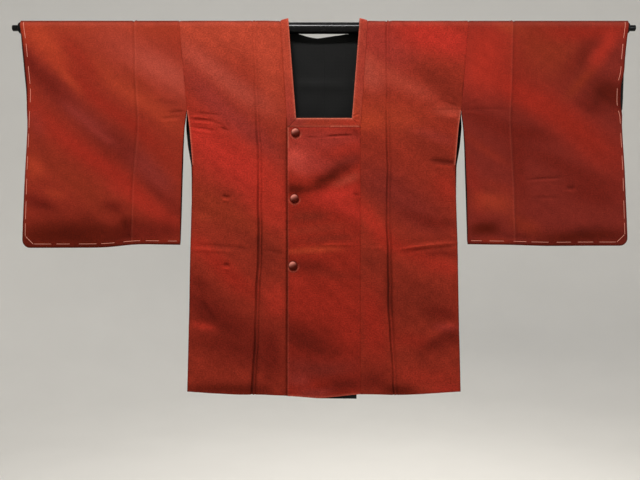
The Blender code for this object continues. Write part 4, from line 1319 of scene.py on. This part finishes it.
# %% Lay the paths of the stitches
STITCH_INSET = 7.8
STITCH_PROUD = 0.28
STITCH_TOP, STITCH_TURN, STITCH_END = -10.0, 441.0, 316.0
STITCH_POINTS = (270, 24, 200)  # down the cuff, across the corner, along the foot
CORNER_CUT = 17.0


def stitch_path(side, face):
    """Points of the basting on one face of a sleeve; face is -1 in front and 1 behind."""
    down = np.linspace(STITCH_TOP, STITCH_TURN, STITCH_POINTS[0])
    outer = np.stack([cuff_edge(side, down, face < 0) - STITCH_INSET, down], -1)
    end = np.array([outer[-1, 0] - CORNER_CUT, SLEEVE_FOOT - STITCH_INSET])
    corner = outer[-1] + np.linspace(0.0, 1.0, STITCH_POINTS[1])[1:, None] * (end - outer[-1])
    along = np.linspace(end[0], STITCH_END, STITCH_POINTS[2])[1:]
    foot = np.stack([along, np.full_like(along, end[1])], -1)
    return [sleeve_point(side, part[:, 0], face * (QUARTER + part[:, 1]), -STITCH_PROUD)
            for part in (outer, corner, foot)]


def path_object(name, paths):
    curve = bpy.data.curves.new(name, "CURVE")
    curve.dimensions = "3D"
    for points in paths:
        spline = curve.splines.new("POLY")
        spline.points.add(len(points) - 1)
        flat = np.ones((len(points), 4), np.float32)
        flat[:, :3] = points
        spline.points.foreach_set("co", flat.ravel())
    return add_object(name, curve)


print("stitch paths on each face of a sleeve:", len(stitch_path(-1, -1)))

# %% Make the thread


def basting_thread(name):
    """Soft white cotton, loosely twisted: matt and a little fluffy. Its pink tint is painted reflected
    light from the red silk around it.
    """
    made, tree = new_material(name, 0.9, Sheen_Weight=0.1)
    twist = noise(tree, object_place(tree), 900.0)
    # The pink of the thread is painted reflected light from the silk.
    tinted(tree, twist, "D6785F", "F4AC96")
    bumped(tree, twist, 0.5)
    return made


THREAD = basting_thread("white_cotton_thread")
print("thread nodes:", len(THREAD.node_tree.nodes))

# %% Build the stitching tree
STITCH_SHORTEST, STITCH_LONGEST = 0.75, 1.12  # as shares of the mean stitch
DIVE_STEEP = 14.0


def stitching_tree():
    tree = bpy.data.node_groups.new("basting", "GeometryNodeTree")
    face = tree.interface
    face.new_socket("Path", in_out="INPUT", socket_type="NodeSocketGeometry")
    for label, value in (("Stitch", 0.037), ("Gap", 0.011), ("Thread", 0.00048), ("Dive", 0.0011)):
        face.new_socket(label, in_out="INPUT", socket_type="NodeSocketFloat").default_value = value
    face.new_socket("Seed", in_out="INPUT", socket_type="NodeSocketInt").default_value = 5
    face.new_socket("Material", in_out="INPUT", socket_type="NodeSocketMaterial")
    face.new_socket("Stitches", in_out="OUTPUT", socket_type="NodeSocketGeometry")
    given = add_node(tree, "NodeGroupInput").outputs
    fine = add_node(tree, "GeometryNodeResampleCurve", {"mode": "LENGTH", "Length": 0.0012},
                    Curve=given["Path"])
    reach = add_node(tree, "GeometryNodeSplineParameter").outputs["Length"]
    marked = add_node(tree, "GeometryNodeStoreNamedAttribute", {"Name": "reach", "domain": "POINT"},
                      Geometry=fine.outputs[0], Value=reach)
    line = add_node(tree, "GeometryNodeCurveToMesh", Curve=marked.outputs[0])
    kept = add_node(tree, "GeometryNodeInputNamedAttribute", {"Name": "reach"}).outputs[0]
    period = maths(tree, "ADD", given["Stitch"], given["Gap"])
    turn = maths(tree, "DIVIDE", kept, period)
    travelled = maths(tree, "MULTIPLY", maths(tree, "FRACT", turn), period)
    vary = add_node(tree, "FunctionNodeRandomValue", {2: STITCH_SHORTEST, 3: STITCH_LONGEST},
                    ID=maths(tree, "FLOOR", turn), Seed=given["Seed"])
    length = maths(tree, "MULTIPLY", given["Stitch"], vary.outputs[1])
    cut = add_node(tree, "GeometryNodeDeleteGeometry", {"domain": "POINT"}, Geometry=line.outputs[0],
                   Selection=maths(tree, "GREATER_THAN", travelled, length))
    from_middle = add_node(tree, "ShaderNodeMapRange", {"To Min": -1.0, "To Max": 1.0},
                           Value=maths(tree, "DIVIDE", travelled, length)).outputs[0]
    steep = maths(tree, "POWER", maths(tree, "ABSOLUTE", from_middle), DIVE_STEEP)
    deep = maths(tree, "MULTIPLY", steep, given["Dive"])
    position = add_node(tree, "GeometryNodeInputPosition").outputs[0]
    place = add_node(tree, "ShaderNodeSeparateXYZ", _0=position)
    inwards = maths(tree, "MULTIPLY", maths(tree, "SIGN", place.outputs["Y"]), deep)
    offset = add_node(tree, "ShaderNodeCombineXYZ", Y=maths(tree, "MULTIPLY", inwards, -1.0))
    dived = add_node(tree, "GeometryNodeSetPosition", Geometry=cut.outputs[0], Offset=offset.outputs[0])
    threads = add_node(tree, "GeometryNodeMeshToCurve", Mesh=dived.outputs[0])
    section = add_node(tree, "GeometryNodeCurvePrimitiveCircle", {"Resolution": 6},
                       Radius=given["Thread"])
    solid = add_node(tree, "GeometryNodeCurveToMesh", {"Fill Caps": True},
                     Curve=threads.outputs[0], Profile_Curve=section.outputs[0])
    smoothed = add_node(tree, "GeometryNodeSetShadeSmooth", Geometry=solid.outputs[0])
    real = add_node(tree, "GeometryNodeRealizeInstances", Geometry=smoothed.outputs[0])
    painted = add_node(tree, "GeometryNodeSetMaterial", Geometry=real.outputs[0],
                       Material=given["Material"])
    add_node(tree, "NodeGroupOutput", _0=painted.outputs[0])
    return tree


BASTING = stitching_tree()
print("stitching nodes:", len(BASTING.nodes))

# %% [markdown]
# On the outside of a sleeve the stitches are long, with short gaps. The thread's short stitches show
# on the other face. Both faces share one tree, with other values in its inputs.

# %% Sew the basting


def sew(name, side, face, seed, **sizes):
    """Run the stitching tree along the paths of one face of a sleeve, and keep a plain mesh."""
    path = path_object(name + "_path", stitch_path(side, face))
    change = path.modifiers.new("basting", "NODES")
    change.node_group = BASTING
    names = {item.name: item.identifier for item in BASTING.interface.items_tree
             if item.item_type == "SOCKET" and item.in_out == "INPUT"}
    for label, value in {"Seed": seed, "Material": THREAD, **sizes}.items():
        change[names[label]] = value
    evaluated = path.evaluated_get(bpy.context.evaluated_depsgraph_get())
    mesh = bpy.data.meshes.new_from_object(evaluated)
    mesh.name = name
    bpy.data.objects.remove(path)
    piece = add_object(name, mesh)
    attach(piece, "root")
    print(name, "has", len(mesh.polygons), "faces")


for side, word in HANDS:
    sew(f"basting_front_{word}", side, -1, 5 + side)
    sew(f"basting_back_{word}", side, 1, 9 + side, Stitch=0.012, Gap=0.044)

# %% [markdown]
# ## The rod
# A steel tube in black semi-gloss paint, with a rounded shoulder and a thinner stub at each end.
# Paint that was sprayed and baked has a very low ripple, which softens its highlight.

# %% Turn the rod
ROD_RADIUS = 12.2
ROD_PROFILE = [  # distance from the middle, radius
    (653.5, 12.2), (655.2, 11.8), (656.4, 11.0), (657.2, 9.9), (657.7, 8.2), (658.1, 7.0),
    (658.9, 6.4), (670.2, 6.4), (670.8, 6.1), (671.0, 5.6)]
ROD_SIDES = 72


def black_paint(name):
    """Baked black paint, a little worn, with a thin clear gloss."""
    made, tree = new_material(name, 0.25, Specular_IOR_Level=0.04, Coat_Weight=0.12, Coat_Roughness=0.12)
    place = object_place(tree)
    wear = noise(tree, place, 35.0, 5.0)
    tinted(tree, wear, "040404", "0A0A0A")
    feed(tree, "Roughness", ranged(tree, wear, 0.2, 0.3))
    bumped(tree, noise(tree, place, 220.0), 0.15)
    return made


def rings_at(stations, sides):
    """Points of rings round an axis, from (place on the axis, radius): place, cosine part, sine part."""
    turns = [2 * pi * step / sides for step in range(sides)]
    return np.array([(place, radius * cos(turn), radius * sin(turn))
                     for place, radius in stations for turn in turns])


def rod():
    stations = [(-reach, radius) for reach, radius in reversed(ROD_PROFILE)]
    stations += [(reach, ROD_RADIUS) for reach in np.linspace(-600, 600, 9)] + ROD_PROFILE
    last = (len(stations) - 1) * ROD_SIDES
    faces = quads_round(len(stations), ROD_SIDES)
    faces += [range(ROD_SIDES)[::-1], range(last, last + ROD_SIDES)]
    mesh = new_mesh("rod_tube", rings_at(stations, ROD_SIDES) * MM, faces)
    mesh.set_sharp_from_angle(angle=radians(50))
    mesh.materials.append(black_paint("black_baked_paint"))
    return finish_piece(add_object("rod_tube", mesh), "rod")


ROD = rod()

# %% [markdown]
# ## Stage and light
# A pale floor curves up far away all round, so no wall stands behind the coat from any side. One
# broad lamp above the front gives the creases their soft shadows, and weaker lamps fill the sides
# and the back. A long strip lamp is linked to the rod alone, and draws the thin line of its gloss.

# %% Set the stage
FLOOR = -1.75
STAGE_SIDES = 96
STAGE_SWEEP = [  # radius, height above the floor
    (3.4, 0.0), (4.1, 0.08), (4.7, 0.35), (5.15, 0.85), (5.4, 1.5), (5.5, 2.4), (5.5, 5.0)]
LAMPS = [  # name, place, target, size, power in watts, colour
    ("key", (-0.5, -1.8, 1.75), (0, 0, -0.35), (0.9, 0.4), 66.0, "FEFAF8"),
    ("side", (2.6, -1.1, 0.3), (0, 0, -0.4), (0.6, 1.2), 13.0, "F4F8FF"),
    ("back", (0.9, 2.4, 1.6), (0, 0, -0.4), (1.0, 0.8), 80.0, "FFF8EE"),
    ("rear wash", (0, 1.2, 2.7), (0, 5.2, -0.8), (3.0, 0.5), 50.0, "FFFFFF"),
    ("front wash", (0, -1.2, 2.9), (0, -5.2, -0.8), (3.0, 0.5), 12.0, "FFFFFF"),
    ("strip", (0, -2.4, 1.8), (0, 0, 0), (3.4, 0.4), 400.0, "FFFFFF")]
WORLD_TINT, WORLD_STRENGTH = "F3F4F5", 0.12


def sweep():
    """A floor of pale matt paper. It is flat in the middle and curves up all round."""
    stations = [(FLOOR + height, radius) for radius, height in STAGE_SWEEP]
    faces = [face[::-1] for face in quads_round(len(stations), STAGE_SIDES)] + [range(STAGE_SIDES)]
    mesh = new_mesh("studio_floor", rings_at(stations, STAGE_SIDES)[:, [1, 2, 0]], faces)
    made, tree = new_material("pale_matt_paper", 0.9, Specular_IOR_Level=0.1)
    tinted(tree, noise(tree, object_place(tree), 3.0), "E4E3DF", "E9E8E4")
    mesh.materials.append(made)
    add_object("studio_floor", mesh)


def lamp(name, at, target, size, power, tint):
    light = bpy.data.lights.new(name, "AREA")
    light.shape = "RECTANGLE"
    light.size, light.size_y = size
    light.energy = power
    light.color = linear(tint)
    made = add_object(name, light)
    made.location = at
    made.rotation_euler = (Vector(target) - Vector(at)).to_track_quat("-Z", "Y").to_euler()
    return made


sweep()
lamps = {row[0]: lamp(*row) for row in LAMPS}
strip = lamps["strip"]
strip.light_linking.receiver_collection = bpy.data.collections.new("lit_by_strip")
strip.light_linking.receiver_collection.objects.link(ROD)
world = bpy.data.worlds.new("studio")
world.use_nodes = True
background = world.node_tree.nodes["Background"].inputs
background["Color"].default_value = (*linear(WORLD_TINT), 1)
background["Strength"].default_value = WORLD_STRENGTH
bpy.context.scene.world = world
print("floor at", FLOOR, "m; lamps:", len(lamps))

# %% [markdown]
# ## Finish
# The dressed coat has to stay in the box of the imported model, but for a few millimetres.

# %% Finish
bpy.context.view_layer.update()
